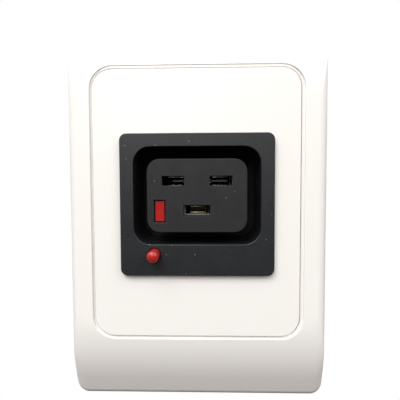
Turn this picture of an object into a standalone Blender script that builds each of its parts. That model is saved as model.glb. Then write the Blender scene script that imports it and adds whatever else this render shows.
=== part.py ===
"""A wall plate with a black appliance outlet that locks its plug and lets go when a red pin is pushed.

Metres, +Z up. The wall is the plane Y = 0, the plate's front faces -Y, and the origin is the
centre of the plate on the wall. The outlet's body reaches behind the wall plane, into a wall box.
"""

import math

import bmesh
import bpy
from mathutils import Matrix, Vector

# Wall plate: the snap-on cover
WINDOW_WIDTH = 0.0587
WINDOW_HEIGHT = 0.0757
WINDOW_CORNER = 0.0063
WINDOW_RISE = 0.0009
WINDOW_ROUND = 0.0002
SIDE_BORDER = 0.00725
END_BORDER = 0.01895
PLATE_CORNER = 0.0034
COVER_PROUD = 0.0115
COVER_WALL = 0.0018
LIP_HEIGHT = 0.0026
LIP_ROUND = 0.0034
SIDE_STEEPNESS = math.radians(82)
SIDE_BLEND = 0.0020
END_STEEPNESS = math.radians(23)
END_BLEND = 0.0490

# Fingers of the cover that snap through slots in the grid plate
FINGER_WIDTH = 0.0060
FINGER_THICKNESS = 0.0012
FINGER_BARB = 0.0006
FINGER_RISE = 0.0240
FINGER_SLOT_CLEARANCE = 0.0003

# Wall plate: the grid plate behind the cover
GRID_THICKNESS = 0.0020
GRID_CLEARANCE = 0.0005
GRID_CORNER = 0.0030
REBATE_WIDTH = 0.00085
REBATE_DEPTH = 0.0005
INSERT_CLEARANCE = 0.0003
INSERT_PROUD = 0.0112
INSERT_WALL = 0.0022
INSERT_ROUND = 0.0002
TRAY_WALL = 0.0012
RIB_THICKNESS = 0.0012
RIB_DEPTH = 0.0030
RIB_FRAME_MARGIN = 0.0035
CUTOUT_CLEARANCE = 0.0003

# Fixing screws, 84 mm apart
SCREW_MARGIN = 0.00415
SCREW_DIAMETER = 0.0035
SCREW_LENGTH = 0.0250
SCREW_HEAD_DIAMETER = 0.0060
SCREW_HEAD_HEIGHT = 0.0022
SCREW_CLEARANCE = 0.0003
SCREW_PLAY = 0.00155
SCREW_DRIVER_WIDTH = 0.0009
SCREW_DRIVER_DEPTH = 0.0011
RETAINER_RIM = 0.0004
RETAINER_THICKNESS = 0.0006

# Outlet: flange, recess and island
SEAT_GAP = 0.0003
FLANGE_WIDTH = 0.0421
FLANGE_HEIGHT = 0.03895
FLANGE_DROP = 0.00015
FLANGE_CORNER = 0.0019
FLANGE_THICKNESS = 0.0010
FLANGE_ROUND = 0.0002
BODY_CORNER = 0.0015
BODY_SIDE_WALL = 0.00159
BODY_TOP_WALL = 0.00162
BODY_CHIN_WALL = 0.0008
ISLAND_WIDTH = 0.02727
ISLAND_HEIGHT = 0.02006
ISLAND_CORNER = 0.0035
ISLAND_RISE = 0.00252
ISLAND_ROUND = 0.00025
RING_WIDTH = 0.0037
RING_HEIGHT = 0.0033
RECESS_CORNER = 0.0046
RECESS_DEPTH = 0.0175
ISLAND_FRONT_WALL = 0.0025
CARRIER_BASE = 0.0020

# Outlet: contact slots, as the plug's pins meet them
PIN_SPACING = 0.0130
EARTH_DROP = 0.0080
SLOT_WIDTH = 0.0060
SLOT_HEIGHT = 0.0025
EARTH_SLOT_WIDTH = 0.0071
EARTH_SLOT_HEIGHT = 0.0027

# Contacts, folded from strip, and the steel clips round their leaves
STRIP = 0.0008
CONTACT_WIDTH = 0.0050
CONTACT_MOUTH = 0.0012
CONTACT_THROAT = 0.00025
CONTACT_ARM = 0.0012
CONTACT_REACH = 0.0050
EARTH_REACH = 0.0062
CONTACT_DEPTH = 0.0160
TAB_WIDTH = 0.0063
TAB_LENGTH = 0.0080
TAB_TAPER = 0.0010
TAB_HOLE = 0.0016
SHOULDER_OVERLAP = 0.0010
SHOULDER_LENGTH = 0.0015
CLIP_STRIP = 0.0004
CLIP_LENGTH = 0.0040
CLIP_PLACE = 0.0050

# Release: the red slider
TRAVEL = 0.0020
PUSH_PIN_DIAMETER = 0.0033
PUSH_PIN_PROUD = 0.0040
PUSH_PIN_DOME = 0.0011
PUSH_PIN_TO_SCREW = 0.00455
PUSH_PIN_DROP = 0.00277
PUSH_PIN_CLEARANCE = 0.00015
RAIL_WIDTH = 0.0042
RAIL_HEIGHT = 0.0043
RAIL_CLEARANCE = 0.0003
SHOULDER_BLOCK = 0.0030
STEM_DIAMETER = 0.0020
BRIDGE_THICKNESS = 0.0020
RED_TAB_IN = 0.003455
RED_TAB_DROP = 0.00023
RED_TAB_WIDTH = 0.0026
RED_TAB_HEIGHT = 0.0056
RED_TAB_INSET = 0.0006
RED_TAB_CLEARANCE = 0.0002
NOTCH_DEPTH = 0.0013

# Lock: the plate that grips the earth pin
LOCK_THICKNESS = 0.0010
LOCK_HEIGHT = 0.0056
LOCK_HINGE_IN = 0.006835
LOCK_TIP = 0.0003
LOCK_HEEL = 0.0006
LOCK_HOLE_EDGE = 0.0001
GROOVE_REACH = 0.0012
POCKET_SIDE_WALL = 0.001635

# Springs
SPRING_WIRE = 0.00035
RELEASE_SPRING_DIAMETER = 0.0034
RELEASE_SPRING_TURNS = 7
LOCK_SPRING_DIAMETER = 0.0029
LOCK_SPRING_TURNS = 5
LOCK_SPRING_GAP = 0.0004
LOCK_SPRING_LENGTH = 0.0060

# Outlet: housing details and the rear cover
CHANNEL_FRONT_WALL = 0.0022
CORE_WALL = 0.0012
CORE_DEPTH = 0.0125
CORE_COUNT = 3
LUG_PROUD = 0.0012
LUG_LENGTH = 0.0052
LUG_HEIGHT = 0.0080
TONGUE_OUT = 0.0085
TONGUE_WIDTH = 0.0060
TONGUE_THICKNESS = 0.0012
TONGUE_LENGTH = 0.0060
TONGUE_HOLE_LENGTH = 0.0024
REAR_WALL = 0.0016
COVER_SCREW_IN = 0.002635
COVER_SCREW_DIAMETER = 0.0020
COVER_SCREW_LENGTH = 0.0130
COVER_SCREW_HEAD = 0.0038
COVER_SCREW_HEAD_HEIGHT = 0.0013
COVER_SCREW_BOSS = 0.0044
COLLAR_WALL = 0.0010
BARRIER_THICKNESS = 0.0012
BARRIER_DEPTH = 0.0050

# Fineness of round shapes, and how far a cutter passes the face that it opens
CORNER_STEPS = 6
ROUND_SIDES = 24
COIL_SIDES = 14
PAST = 0.0010
WELD = 1e-6
SHARP = math.radians(40)

# Sizes that follow from those above
PLATE_WIDTH = WINDOW_WIDTH + 2 * SIDE_BORDER
PLATE_HEIGHT = WINDOW_HEIGHT + 2 * END_BORDER
SCREW_Z = WINDOW_HEIGHT / 2 + SCREW_MARGIN
SCREW_SLOT_WIDTH = SCREW_DIAMETER + 2 * SCREW_CLEARANCE
SCREW_SLOT_LENGTH = SCREW_DIAMETER + 2 * SCREW_PLAY
RETAINER_DIAMETER = SCREW_SLOT_LENGTH + 2 * RETAINER_RIM
POCKET_WIDTH = CONTACT_WIDTH + 2 * (CLIP_STRIP + 2 * SEAT_GAP)
POCKET_HEIGHT = 2 * (CONTACT_ARM + STRIP + CLIP_STRIP + 2 * SEAT_GAP)
RECESS_WIDTH = ISLAND_WIDTH + 2 * RING_WIDTH
RECESS_HEIGHT = ISLAND_HEIGHT + 2 * RING_HEIGHT
BODY_WIDTH = RECESS_WIDTH + 2 * BODY_SIDE_WALL
COVER_SCREW_OUT = BODY_WIDTH / 2 - COVER_SCREW_IN
PUSH_PIN_LEFT = COVER_SCREW_OUT - PUSH_PIN_TO_SCREW
RED_TAB_LEFT = ISLAND_WIDTH / 2 - RED_TAB_IN
RED_TAB_INNER = RED_TAB_LEFT - RED_TAB_WIDTH / 2
TAB_WINDOW_WIDTH = RED_TAB_WIDTH + 2 * RED_TAB_CLEARANCE
TAB_WINDOW_HEIGHT = RED_TAB_HEIGHT + 2 * RED_TAB_CLEARANCE
LOCK_HINGE_RIGHT = ISLAND_WIDTH / 2 - LOCK_HINGE_IN
LOCK_LEVER = LOCK_HINGE_RIGHT + RED_TAB_INNER + NOTCH_DEPTH / 2
LOCK_TILT = math.atan2(TRAVEL, LOCK_LEVER)
LOCK_HOLE_WIDTH = EARTH_SLOT_WIDTH - 2 * LOCK_HOLE_EDGE
LOCK_HOLE_HEIGHT = EARTH_SLOT_HEIGHT - 2 * LOCK_HOLE_EDGE
LOCK_SPRING_LEFT = RED_TAB_INNER - LOCK_SPRING_GAP - LOCK_SPRING_DIAMETER / 2
POCKET_LEFT = ISLAND_WIDTH / 2 - POCKET_SIDE_WALL

# Depths along Y; the front is the negative side
FLANGE_BACK = -(INSERT_PROUD + SEAT_GAP)
FLANGE_FRONT = FLANGE_BACK - FLANGE_THICKNESS
PANEL_BACK = -(INSERT_PROUD - INSERT_WALL)
REBATE_FLOOR = -(INSERT_PROUD - REBATE_DEPTH)
INSERT_MARGIN = REBATE_WIDTH + INSERT_CLEARANCE
RECESS_FLOOR = FLANGE_FRONT + RECESS_DEPTH
HOUSING_END = RECESS_FLOOR - SEAT_GAP
CARRIER_END = RECESS_FLOOR + CARRIER_BASE
POCKET_FRONT = FLANGE_FRONT + ISLAND_FRONT_WALL
REAR_COVER_FRONT = CARRIER_END + SEAT_GAP
BRIDGE_FRONT = CARRIER_END + SEAT_GAP
CHAMBER_END = BRIDGE_FRONT + BRIDGE_THICKNESS + TRAVEL + SEAT_GAP
REAR_COVER_END = CHAMBER_END + REAR_WALL
CHANNEL_FRONT = FLANGE_FRONT + CHANNEL_FRONT_WALL
LOCK_TIP_REACH = (LOCK_LEVER + LOCK_TIP) * math.sin(LOCK_TILT) + LOCK_THICKNESS / 2
LOCK_HINGE_Y = POCKET_FRONT + SEAT_GAP + LOCK_TIP_REACH

# Heights along Z of the outlet's parts
FLANGE_Z = WINDOW_RISE - FLANGE_DROP
ISLAND_Z = FLANGE_Z + ISLAND_RISE
LIVE_Z = ISLAND_Z + EARTH_DROP / 2
EARTH_Z = ISLAND_Z - EARTH_DROP / 2
RED_TAB_Z = EARTH_Z - RED_TAB_DROP
RECESS_BOTTOM = ISLAND_Z - RECESS_HEIGHT / 2
PUSH_PIN_Z = RECESS_BOTTOM - PUSH_PIN_DROP
RAIL_TOP = PUSH_PIN_Z + PUSH_PIN_DIAMETER / 2 + SEAT_GAP / 2
BODY_TOP = ISLAND_Z + RECESS_HEIGHT / 2 + BODY_TOP_WALL
BODY_BOTTOM = RAIL_TOP - RAIL_HEIGHT - RAIL_CLEARANCE - BODY_CHIN_WALL
BODY_HEIGHT = BODY_TOP - BODY_BOTTOM
BODY_Z = (BODY_TOP + BODY_BOTTOM) / 2
COVER_SCREW_Z = (RECESS_BOTTOM + BODY_BOTTOM) / 2


# Scene, materials and basic solids

def clear_scene():
    """Removes every object that the file opened with."""
    for obj in list(bpy.data.objects):
        bpy.data.objects.remove(obj, do_unlink=True)


def collection(name):
    """The scene's collection of this name, made when first asked for."""
    found = bpy.data.collections.get(name)
    if not found:
        found = bpy.data.collections.new(name)
        bpy.context.scene.collection.children.link(found)
    return found


def material(name, colour, roughness, metallic=0.0):
    """A Principled material of one colour, given as linear red, green and blue."""
    made = bpy.data.materials.get(name) or bpy.data.materials.new(name)
    made.use_nodes = True
    shader = made.node_tree.nodes["Principled BSDF"]
    shader.inputs["Base Color"].default_value = (*colour, 1.0)
    shader.inputs["Roughness"].default_value = roughness
    shader.inputs["Metallic"].default_value = metallic
    return made


def add_object(name, data):
    """A new object in the part's collection."""
    obj = bpy.data.objects.new(name, data)
    collection("locking_power_wall_socket").objects.link(obj)
    return obj


def from_bmesh(name, shape):
    """An object from a bmesh, which is freed."""
    mesh = bpy.data.meshes.new(name)
    bmesh.ops.recalc_face_normals(shape, faces=shape.faces)
    shape.to_mesh(mesh)
    shape.free()
    return add_object(name, mesh)


def baked(obj):
    """The object with its curve or its modifiers turned into one plain mesh in world space."""
    bpy.context.view_layer.update()
    graph = bpy.context.evaluated_depsgraph_get()
    mesh = bpy.data.meshes.new_from_object(obj.evaluated_get(graph))
    mesh.transform(obj.matrix_world)
    shape = bmesh.new()
    shape.from_mesh(mesh)
    bmesh.ops.remove_doubles(shape, verts=shape.verts, dist=WELD)
    bmesh.ops.recalc_face_normals(shape, faces=shape.faces)
    shape.to_mesh(mesh)
    shape.free()
    name = obj.name
    bpy.data.objects.remove(obj, do_unlink=True)
    mesh.name = name
    return add_object(name, mesh)


def rounded_outline(width, height, radius, x=0.0, z=0.0):
    """Points (x, z) of a rounded rectangle about (x, z), anticlockwise as seen from the front."""
    points = []
    for corner in range(4):
        turn = corner * math.pi / 2
        side = 1 if corner in (0, 3) else -1
        level = 1 if corner in (0, 1) else -1
        centre_x = x + side * (width / 2 - radius)
        centre_z = z + level * (height / 2 - radius)
        for step in range(CORNER_STEPS + 1):
            angle = turn + step * math.pi / 2 / CORNER_STEPS
            points.append((centre_x + radius * math.cos(angle), centre_z + radius * math.sin(angle)))
    return points


def extruded(name, outlines, front, back):
    """Flat outlines in X and Z, the first one filled and the others holes in it, from y front to y back."""
    curve = bpy.data.curves.new(name, "CURVE")
    curve.dimensions = "2D"
    curve.fill_mode = "BOTH"
    curve.extrude = (back - front) / 2
    for outline in outlines:
        spline = curve.splines.new("POLY")
        spline.points.add(len(outline) - 1)
        for point, (x, z) in zip(spline.points, outline):
            point.co = (x, z, 0.0, 1.0)
        spline.use_cyclic_u = True
    obj = add_object(name, curve)
    obj.rotation_euler.x = math.pi / 2
    obj.location.y = (front + back) / 2
    return baked(obj)


def block(name, low, high):
    """A box between two corners."""
    shape = bmesh.new()
    bmesh.ops.create_cube(shape, size=1.0)
    size = Vector(high) - Vector(low)
    bmesh.ops.scale(shape, vec=size, verts=shape.verts)
    bmesh.ops.translate(shape, vec=Vector(low) + size / 2, verts=shape.verts)
    return from_bmesh(name, shape)


def rod(name, diameter, front, back, x, z, back_diameter=None):
    """A round bar or cone along Y."""
    shape = bmesh.new()
    last = diameter if back_diameter is None else back_diameter
    bmesh.ops.create_cone(
        shape, cap_ends=True, segments=ROUND_SIDES,
        radius1=last / 2, radius2=diameter / 2, depth=back - front,
    )
    bmesh.ops.rotate(shape, matrix=Matrix.Rotation(math.pi / 2, 3, "X"), verts=shape.verts)
    bmesh.ops.translate(shape, vec=(x, (front + back) / 2, z), verts=shape.verts)
    return from_bmesh(name, shape)


def turned(name, profile, x, z):
    """A solid turned about an axis along Y through (x, z), from (radius, y) points front to back."""
    mesh = bpy.data.meshes.new(name)
    points = [(radius, 0.0, -y) for radius, y in profile]
    mesh.from_pydata(points, [(i, i + 1) for i in range(len(points) - 1)], [])
    obj = add_object(name, mesh)
    screw = obj.modifiers.new("Turn", "SCREW")
    screw.steps = screw.render_steps = ROUND_SIDES
    screw.use_merge_vertices = True
    screw.merge_threshold = WELD
    obj.rotation_euler.x = math.pi / 2
    obj.location = (x, 0.0, z)
    return baked(obj)


def lofted(name, rings):
    """A closed skin over rings of (x, y, z) points, as many in each, with flat ends."""
    shape = bmesh.new()
    rows = [[shape.verts.new(point) for point in ring] for ring in rings]
    for lower, upper in zip(rows, rows[1:]):
        for i in range(len(lower)):
            after = (i + 1) % len(lower)
            shape.faces.new((lower[i], lower[after], upper[after], upper[i]))
    shape.faces.new(rows[0])
    shape.faces.new(list(reversed(rows[-1])))
    return from_bmesh(name, shape)


def combine(target, tool, operation):
    """Adds a Boolean of this kind and puts the tool among the hidden cutters."""
    modifier = target.modifiers.new(tool.name, "BOOLEAN")
    modifier.operation = operation
    modifier.solver = "EXACT"
    modifier.object = tool
    for holder in list(tool.users_collection):
        holder.objects.unlink(tool)
    collection("cutters").objects.link(tool)
    tool.hide_render = True
    tool.display_type = "WIRE"


def cut(target, *tools):
    """Takes the tools out of the target."""
    for tool in tools:
        combine(target, tool, "DIFFERENCE")


def join(target, *tools):
    """Makes the tools part of the target."""
    for tool in tools:
        combine(target, tool, "UNION")


def round_front_edges(obj, behind, radius):
    """Rounds the sharp outer edges that lie wholly in front of the plane y = behind."""
    obj = baked(obj)
    shape = bmesh.new()
    shape.from_mesh(obj.data)
    bmesh.ops.dissolve_limit(
        shape, angle_limit=math.radians(0.5), verts=shape.verts, edges=shape.edges
    )
    edges = [
        edge
        for edge in shape.edges
        if len(edge.link_faces) == 2
        and edge.is_convex
        and edge.calc_face_angle() > SHARP
        and max(vert.co.y for vert in edge.verts) < behind
    ]
    bmesh.ops.bevel(
        shape, geom=edges, offset=radius, segments=2, profile=0.5, affect="EDGES", clamp_overlap=True
    )
    shape.to_mesh(obj.data)
    shape.free()
    return obj


def put_origin(obj, point):
    """Moves the object's origin, and leaves its shape where it is."""
    obj.data.transform(Matrix.Translation(-Vector(point)))
    obj.location = point


def finish(obj, finish_material):
    """Gives the object its material and shades its round faces smooth."""
    obj.data.materials.clear()
    obj.data.materials.append(finish_material)
    obj.data.shade_smooth()
    obj.data.set_sharp_from_angle(angle=SHARP)
    return obj


# Cover: the outer form is a loft of rounded rectangles that shrink towards the face

def profile_parts(steepness, blend):
    """Heights and insets at which the lip's round, the slope and the blend into the face meet."""
    lip_inset = LIP_ROUND * (1 - math.sin(steepness))
    lip_top = LIP_HEIGHT + LIP_ROUND * math.cos(steepness)
    slope_top = COVER_PROUD - blend * (1 - math.cos(steepness))
    slope_inset = lip_inset + (slope_top - lip_top) / math.tan(steepness)
    return lip_inset, lip_top, slope_inset, slope_top


def profile_inset(height, steepness, blend):
    """How far the cover's edge has drawn in at a height above the wall."""
    lip_inset, lip_top, slope_inset, slope_top = profile_parts(steepness, blend)
    if height <= LIP_HEIGHT:
        return 0.0
    if height <= lip_top:
        rise = height - LIP_HEIGHT
        return LIP_ROUND - math.sqrt(LIP_ROUND**2 - rise**2)
    if height <= slope_top:
        return lip_inset + (height - lip_top) / math.tan(steepness)
    rise = height - (COVER_PROUD - blend)
    reach = blend * math.sin(steepness) - math.sqrt(max(blend**2 - rise**2, 0.0))
    return slope_inset + reach


def profile_heights(steepness, blend):
    """Heights at which a ring keeps the rounds of one edge profile true."""
    heights = [0.0, LIP_HEIGHT]
    for step in range(1, 5):
        turn = (math.pi / 2 - steepness) * step / 4
        heights.append(LIP_HEIGHT + LIP_ROUND * math.sin(turn))
    for step in range(7):
        turn = steepness * (1 - step / 6)
        heights.append(COVER_PROUD - blend * (1 - math.cos(turn)))
    return heights


def cover_outline(height, wall):
    """The outline, at this height, of the skin that lies this wall inside the outer one."""
    outer = min(height + wall, COVER_PROUD)
    width = PLATE_WIDTH - 2 * wall - 2 * profile_inset(outer, SIDE_STEEPNESS, SIDE_BLEND)
    depth = PLATE_HEIGHT - 2 * wall - 2 * profile_inset(outer, END_STEEPNESS, END_BLEND)
    return width, depth, max(PLATE_CORNER - wall, PLATE_CORNER / 3)


def cover_skin(name, wall):
    """The solid inside the skin that lies this wall inside the outer one."""
    heights = profile_heights(SIDE_STEEPNESS, SIDE_BLEND)
    heights += profile_heights(END_STEEPNESS, END_BLEND)
    levels = sorted({round(max(height - wall, 0.0), 5) for height in heights})
    rings = []
    for level in levels:
        outline = rounded_outline(*cover_outline(level, wall))
        rings.append([(x, -level, z) for x, z in outline])
    if wall:
        rings.insert(0, [(x, PAST, z) for x, _, z in rings[0]])
    return lofted(name, rings)


def window_outline(margin=0.0):
    """The cover's window where it opens in the face, drawn in by a margin."""
    return rounded_outline(
        WINDOW_WIDTH - 2 * margin, WINDOW_HEIGHT - 2 * margin, WINDOW_CORNER - margin, z=WINDOW_RISE
    )


def grid_size():
    """Width and height of the grid plate, which fills the cover with a clearance."""
    width, height, _ = cover_outline(GRID_THICKNESS, COVER_WALL)
    return width - 2 * GRID_CLEARANCE, height - 2 * GRID_CLEARANCE


def finger_place():
    """X of the snap fingers, midway between the tray and the grid plate's edge."""
    tray_side = WINDOW_WIDTH / 2 - INSERT_MARGIN
    return (tray_side + grid_size()[0] / 2) / 2


def finger_places():
    """Side and height of each snap finger."""
    return [(side, level * FINGER_RISE) for side in (-1, 1) for level in (-1, 1)]


def snap_finger(name, side, z):
    """One finger with its barb, from inside the cover's face to just short of the wall."""
    x = finger_place()
    root = -(COVER_PROUD - COVER_WALL / 2)
    barb = -GRID_THICKNESS / 2 + SEAT_GAP
    outline = [
        (x - FINGER_THICKNESS / 2, root),
        (x + FINGER_THICKNESS / 2, root),
        (x + FINGER_THICKNESS / 2, barb),
        (x + FINGER_THICKNESS / 2 + FINGER_BARB, barb),
        (x + FINGER_THICKNESS / 2, -SEAT_GAP / 2),
        (x - FINGER_THICKNESS / 2, -SEAT_GAP / 2),
    ]
    low = [(side * px, py, z - FINGER_WIDTH / 2) for px, py in outline]
    high = [(px, py, z + FINGER_WIDTH / 2) for px, py, _ in low]
    return lofted(name, [low, high])


def make_surround_cover(white):
    """The snap-on cover: a moulded shell with four fingers, and a shallow rebate round its window."""
    cover = cover_skin("surround_cover", 0.0)
    hollow = cover_skin("cover_hollow", COVER_WALL)
    rebate = extruded("cover_rebate", [window_outline()], -(COVER_PROUD + PAST), REBATE_FLOOR)
    opening = [window_outline(REBATE_WIDTH)]
    window = extruded("cover_window", opening, -(COVER_PROUD + PAST), PAST)
    cut(cover, hollow, rebate, window)
    for index, (side, z) in enumerate(finger_places()):
        join(cover, snap_finger(f"cover_finger_{index}", side, z))
    rim = -(COVER_PROUD - 0.8 * COVER_WALL)
    finish(round_front_edges(cover, rim, WINDOW_ROUND), white)


# Grid plate

def screw_places():
    """Name and height of the two fixing screws."""
    return [("top", SCREW_Z), ("bottom", -SCREW_Z)]


def add_ribs(grid):
    """A stiffening frame round the cut-out and ribs from it to the tray's ends."""
    inner_width = BODY_WIDTH + 2 * RIB_FRAME_MARGIN
    inner_height = BODY_HEIGHT + 2 * RIB_FRAME_MARGIN
    outer = rounded_outline(
        inner_width + 2 * RIB_THICKNESS, inner_height + 2 * RIB_THICKNESS, FLANGE_CORNER, z=BODY_Z
    )
    inner = rounded_outline(inner_width, inner_height, FLANGE_CORNER - RIB_THICKNESS / 2, z=BODY_Z)
    root = PANEL_BACK - INSERT_WALL / 2
    back = PANEL_BACK + RIB_DEPTH
    join(grid, extruded("rib_frame", [outer, inner], root, back))
    tray_end = WINDOW_HEIGHT / 2 - INSERT_MARGIN - TRAY_WALL / 2
    frame_end = inner_height / 2 + RIB_THICKNESS / 2
    for side in (-1, 1):
        x = side * inner_width / 4
        for level in (-1, 1):
            ends = sorted((BODY_Z + level * frame_end, WINDOW_RISE + level * tray_end))
            low = (x - RIB_THICKNESS / 2, root, ends[0])
            high = (x + RIB_THICKNESS / 2, back, ends[1])
            join(grid, block(f"rib_{side}_{level}", low, high))


def make_grid_plate(white):
    """The plate that screws to the wall, with the raised panel that fills the cover's window."""
    width, height = grid_size()
    grid = extruded("grid_plate", [rounded_outline(width, height, GRID_CORNER)], -GRID_THICKNESS, 0.0)
    join(grid, extruded("tray", [window_outline(INSERT_MARGIN)], -INSERT_PROUD, -GRID_THICKNESS / 2))
    hollow = extruded("tray_hollow", [window_outline(INSERT_MARGIN + TRAY_WALL)], PANEL_BACK, PAST)
    cut(grid, hollow)
    add_ribs(grid)
    opening = rounded_outline(
        BODY_WIDTH + 2 * CUTOUT_CLEARANCE, BODY_HEIGHT + 2 * CUTOUT_CLEARANCE,
        BODY_CORNER + CUTOUT_CLEARANCE, z=BODY_Z,
    )
    cut(grid, extruded("outlet_opening", [opening], -(INSERT_PROUD + PAST), PAST))
    for name, z in screw_places():
        slot = rounded_outline(SCREW_SLOT_LENGTH, SCREW_SLOT_WIDTH, SCREW_SLOT_WIDTH / 2 - WELD, z=z)
        cut(grid, extruded(f"screw_slot_{name}", [slot], -(GRID_THICKNESS + PAST), PAST))
        seat = RETAINER_DIAMETER + 2 * SEAT_GAP
        cut(grid, rod(f"retainer_seat_{name}", seat, -(RETAINER_THICKNESS + SEAT_GAP), PAST, 0.0, z))
        relief = SCREW_HEAD_DIAMETER + 3 * SEAT_GAP
        deep = -(GRID_THICKNESS + SCREW_HEAD_HEIGHT + 3 * SEAT_GAP)
        cut(grid, rod(f"head_relief_{name}", relief, deep, SEAT_GAP / 3 - GRID_THICKNESS, 0.0, z))
    for index, (side, z) in enumerate(finger_places()):
        slot = FINGER_THICKNESS / 2 + FINGER_BARB + FINGER_SLOT_CLEARANCE
        half = FINGER_WIDTH / 2 + FINGER_SLOT_CLEARANCE
        middle = side * finger_place()
        low = (middle - slot, -(GRID_THICKNESS + PAST), z - half)
        high = (middle + slot, PAST, z + half)
        cut(grid, block(f"finger_slot_{index}", low, high))
    edge = -(INSERT_PROUD - 2 * INSERT_ROUND)
    finish(round_front_edges(grid, edge, INSERT_ROUND), white)


def make_fixing(name, z, zinc, nylon):
    """A fixing screw through the grid plate, with the soft washer that keeps it there."""
    under_head = -(GRID_THICKNESS + SEAT_GAP)
    top = under_head - SCREW_HEAD_HEIGHT
    edge = SCREW_HEAD_HEIGHT / 4
    profile = [
        (0.0, top),
        (SCREW_HEAD_DIAMETER / 2 - edge, top),
        (SCREW_HEAD_DIAMETER / 2, top + edge),
        (SCREW_HEAD_DIAMETER / 2, under_head),
        (SCREW_DIAMETER / 2, under_head),
        (SCREW_DIAMETER / 2, under_head + SCREW_LENGTH - SCREW_DIAMETER / 2),
        (SCREW_DIAMETER / 4, under_head + SCREW_LENGTH),
        (0.0, under_head + SCREW_LENGTH),
    ]
    screw = turned(f"mounting_screw_{name}", profile, 0.0, z)
    half = SCREW_DRIVER_WIDTH / 2
    reach = SCREW_HEAD_DIAMETER / 2 + PAST
    low = (-reach, top - PAST, z - half)
    high = (reach, top + SCREW_DRIVER_DEPTH, z + half)
    cut(screw, block(f"driver_slot_{name}", low, high))
    finish(screw, zinc)
    hole = SCREW_DIAMETER + 2 * SEAT_GAP
    washer = rod(f"screw_retainer_{name}", RETAINER_DIAMETER, -RETAINER_THICKNESS, 0.0, 0.0, z)
    cut(washer, rod(f"retainer_hole_{name}", hole, -(RETAINER_THICKNESS + PAST), PAST, 0.0, z))
    finish(washer, nylon)


# Outlet housing

def slider_channel(margin=0.0):
    """X and Z limits of the slider's rail, widened by a margin."""
    half = RAIL_WIDTH / 2 + margin
    bottom = RAIL_TOP - RAIL_HEIGHT - margin
    return -PUSH_PIN_LEFT - half, -PUSH_PIN_LEFT + half, bottom, RAIL_TOP + margin


def add_snap_lugs(housing):
    """A wedge on each side that springs out behind the panel and holds the outlet in it."""
    front = PANEL_BACK + SEAT_GAP
    inside = BODY_WIDTH / 2 - LUG_PROUD / 2
    outside = BODY_WIDTH / 2 + LUG_PROUD
    outline = [(inside, front), (outside, front), (outside, front + LUG_PROUD), (inside, front + LUG_LENGTH)]
    for side in (-1, 1):
        low = [(side * x, y, BODY_Z - LUG_HEIGHT / 2) for x, y in outline]
        high = [(x, y, BODY_Z + LUG_HEIGHT / 2) for x, y, _ in low]
        join(housing, lofted(f"snap_lug_{side}", [low, high]))


def add_tongues(housing):
    """Two tongues that reach back over the carrier and snap on the rear cover's nubs."""
    for side in (-1, 1):
        x = side * TONGUE_OUT
        end = HOUSING_END + TONGUE_LENGTH
        low = (x - TONGUE_WIDTH / 2, HOUSING_END - PAST, BODY_TOP - TONGUE_THICKNESS)
        high = (x + TONGUE_WIDTH / 2, end, BODY_TOP)
        join(housing, block(f"tongue_{side}", low, high))
        half = TONGUE_WIDTH / 4
        far = end - TONGUE_THICKNESS
        low = (x - half, far - TONGUE_HOLE_LENGTH, BODY_TOP - TONGUE_THICKNESS - PAST)
        high = (x + half, far, BODY_TOP + PAST)
        cut(housing, block(f"tongue_hole_{side}", low, high))


def core_out(housing):
    """Hollows in the thick wall below the recess, open at the back, with ribs between them."""
    left = slider_channel(RAIL_CLEARANCE)[1] + CORE_WALL
    right = COVER_SCREW_OUT - COVER_SCREW_BOSS / 2 - CORE_WALL / 2
    width = (right - left - (CORE_COUNT - 1) * CORE_WALL) / CORE_COUNT
    for index in range(CORE_COUNT):
        start = left + index * (width + CORE_WALL)
        low = (start, HOUSING_END - CORE_DEPTH, BODY_BOTTOM + CORE_WALL)
        high = (start + width, HOUSING_END + PAST, RECESS_BOTTOM - CORE_WALL)
        cut(housing, block(f"core_{index}", low, high))


def make_outlet_housing(black):
    """Flange and recess walls in one moulding, with the release slider's channel below the recess."""
    flange = rounded_outline(FLANGE_WIDTH, FLANGE_HEIGHT, FLANGE_CORNER, z=FLANGE_Z)
    body = rounded_outline(BODY_WIDTH, BODY_HEIGHT, BODY_CORNER, z=BODY_Z)
    recess = rounded_outline(RECESS_WIDTH, RECESS_HEIGHT, RECESS_CORNER, z=ISLAND_Z)
    housing = extruded("outlet_housing", [flange], FLANGE_FRONT, FLANGE_BACK)
    join(housing, extruded("housing_body", [body], FLANGE_BACK - FLANGE_THICKNESS / 2, HOUSING_END))
    add_snap_lugs(housing)
    add_tongues(housing)
    cut(housing, extruded("recess", [recess], FLANGE_FRONT - PAST, HOUSING_END + PAST))
    core_out(housing)
    x_low, x_high, z_low, z_high = slider_channel(RAIL_CLEARANCE)
    cut(housing, block("channel", (x_low, CHANNEL_FRONT, z_low), (x_high, HOUSING_END + PAST, z_high)))
    hole = PUSH_PIN_DIAMETER + 2 * PUSH_PIN_CLEARANCE
    cut(housing, rod("pin_hole", hole, FLANGE_FRONT - PAST, CHANNEL_FRONT + PAST, -PUSH_PIN_LEFT, PUSH_PIN_Z))
    bore = COVER_SCREW_DIAMETER + 2 * SEAT_GAP
    tip = REAR_COVER_END + SEAT_GAP - COVER_SCREW_LENGTH
    for side in (-1, 1):
        x = side * COVER_SCREW_OUT
        cut(housing, rod(f"screw_bore_{side}", bore, tip - SEAT_GAP, HOUSING_END + PAST, x, COVER_SCREW_Z))
    edge = FLANGE_FRONT + FLANGE_THICKNESS / 4
    finish(round_front_edges(housing, edge, FLANGE_ROUND), black)


# Contact carrier: the island with its slots, and the base that closes the recess

def live_places():
    """Name and x of the two live contacts."""
    return [("line", -PIN_SPACING / 2), ("neutral", PIN_SPACING / 2)]


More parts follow.
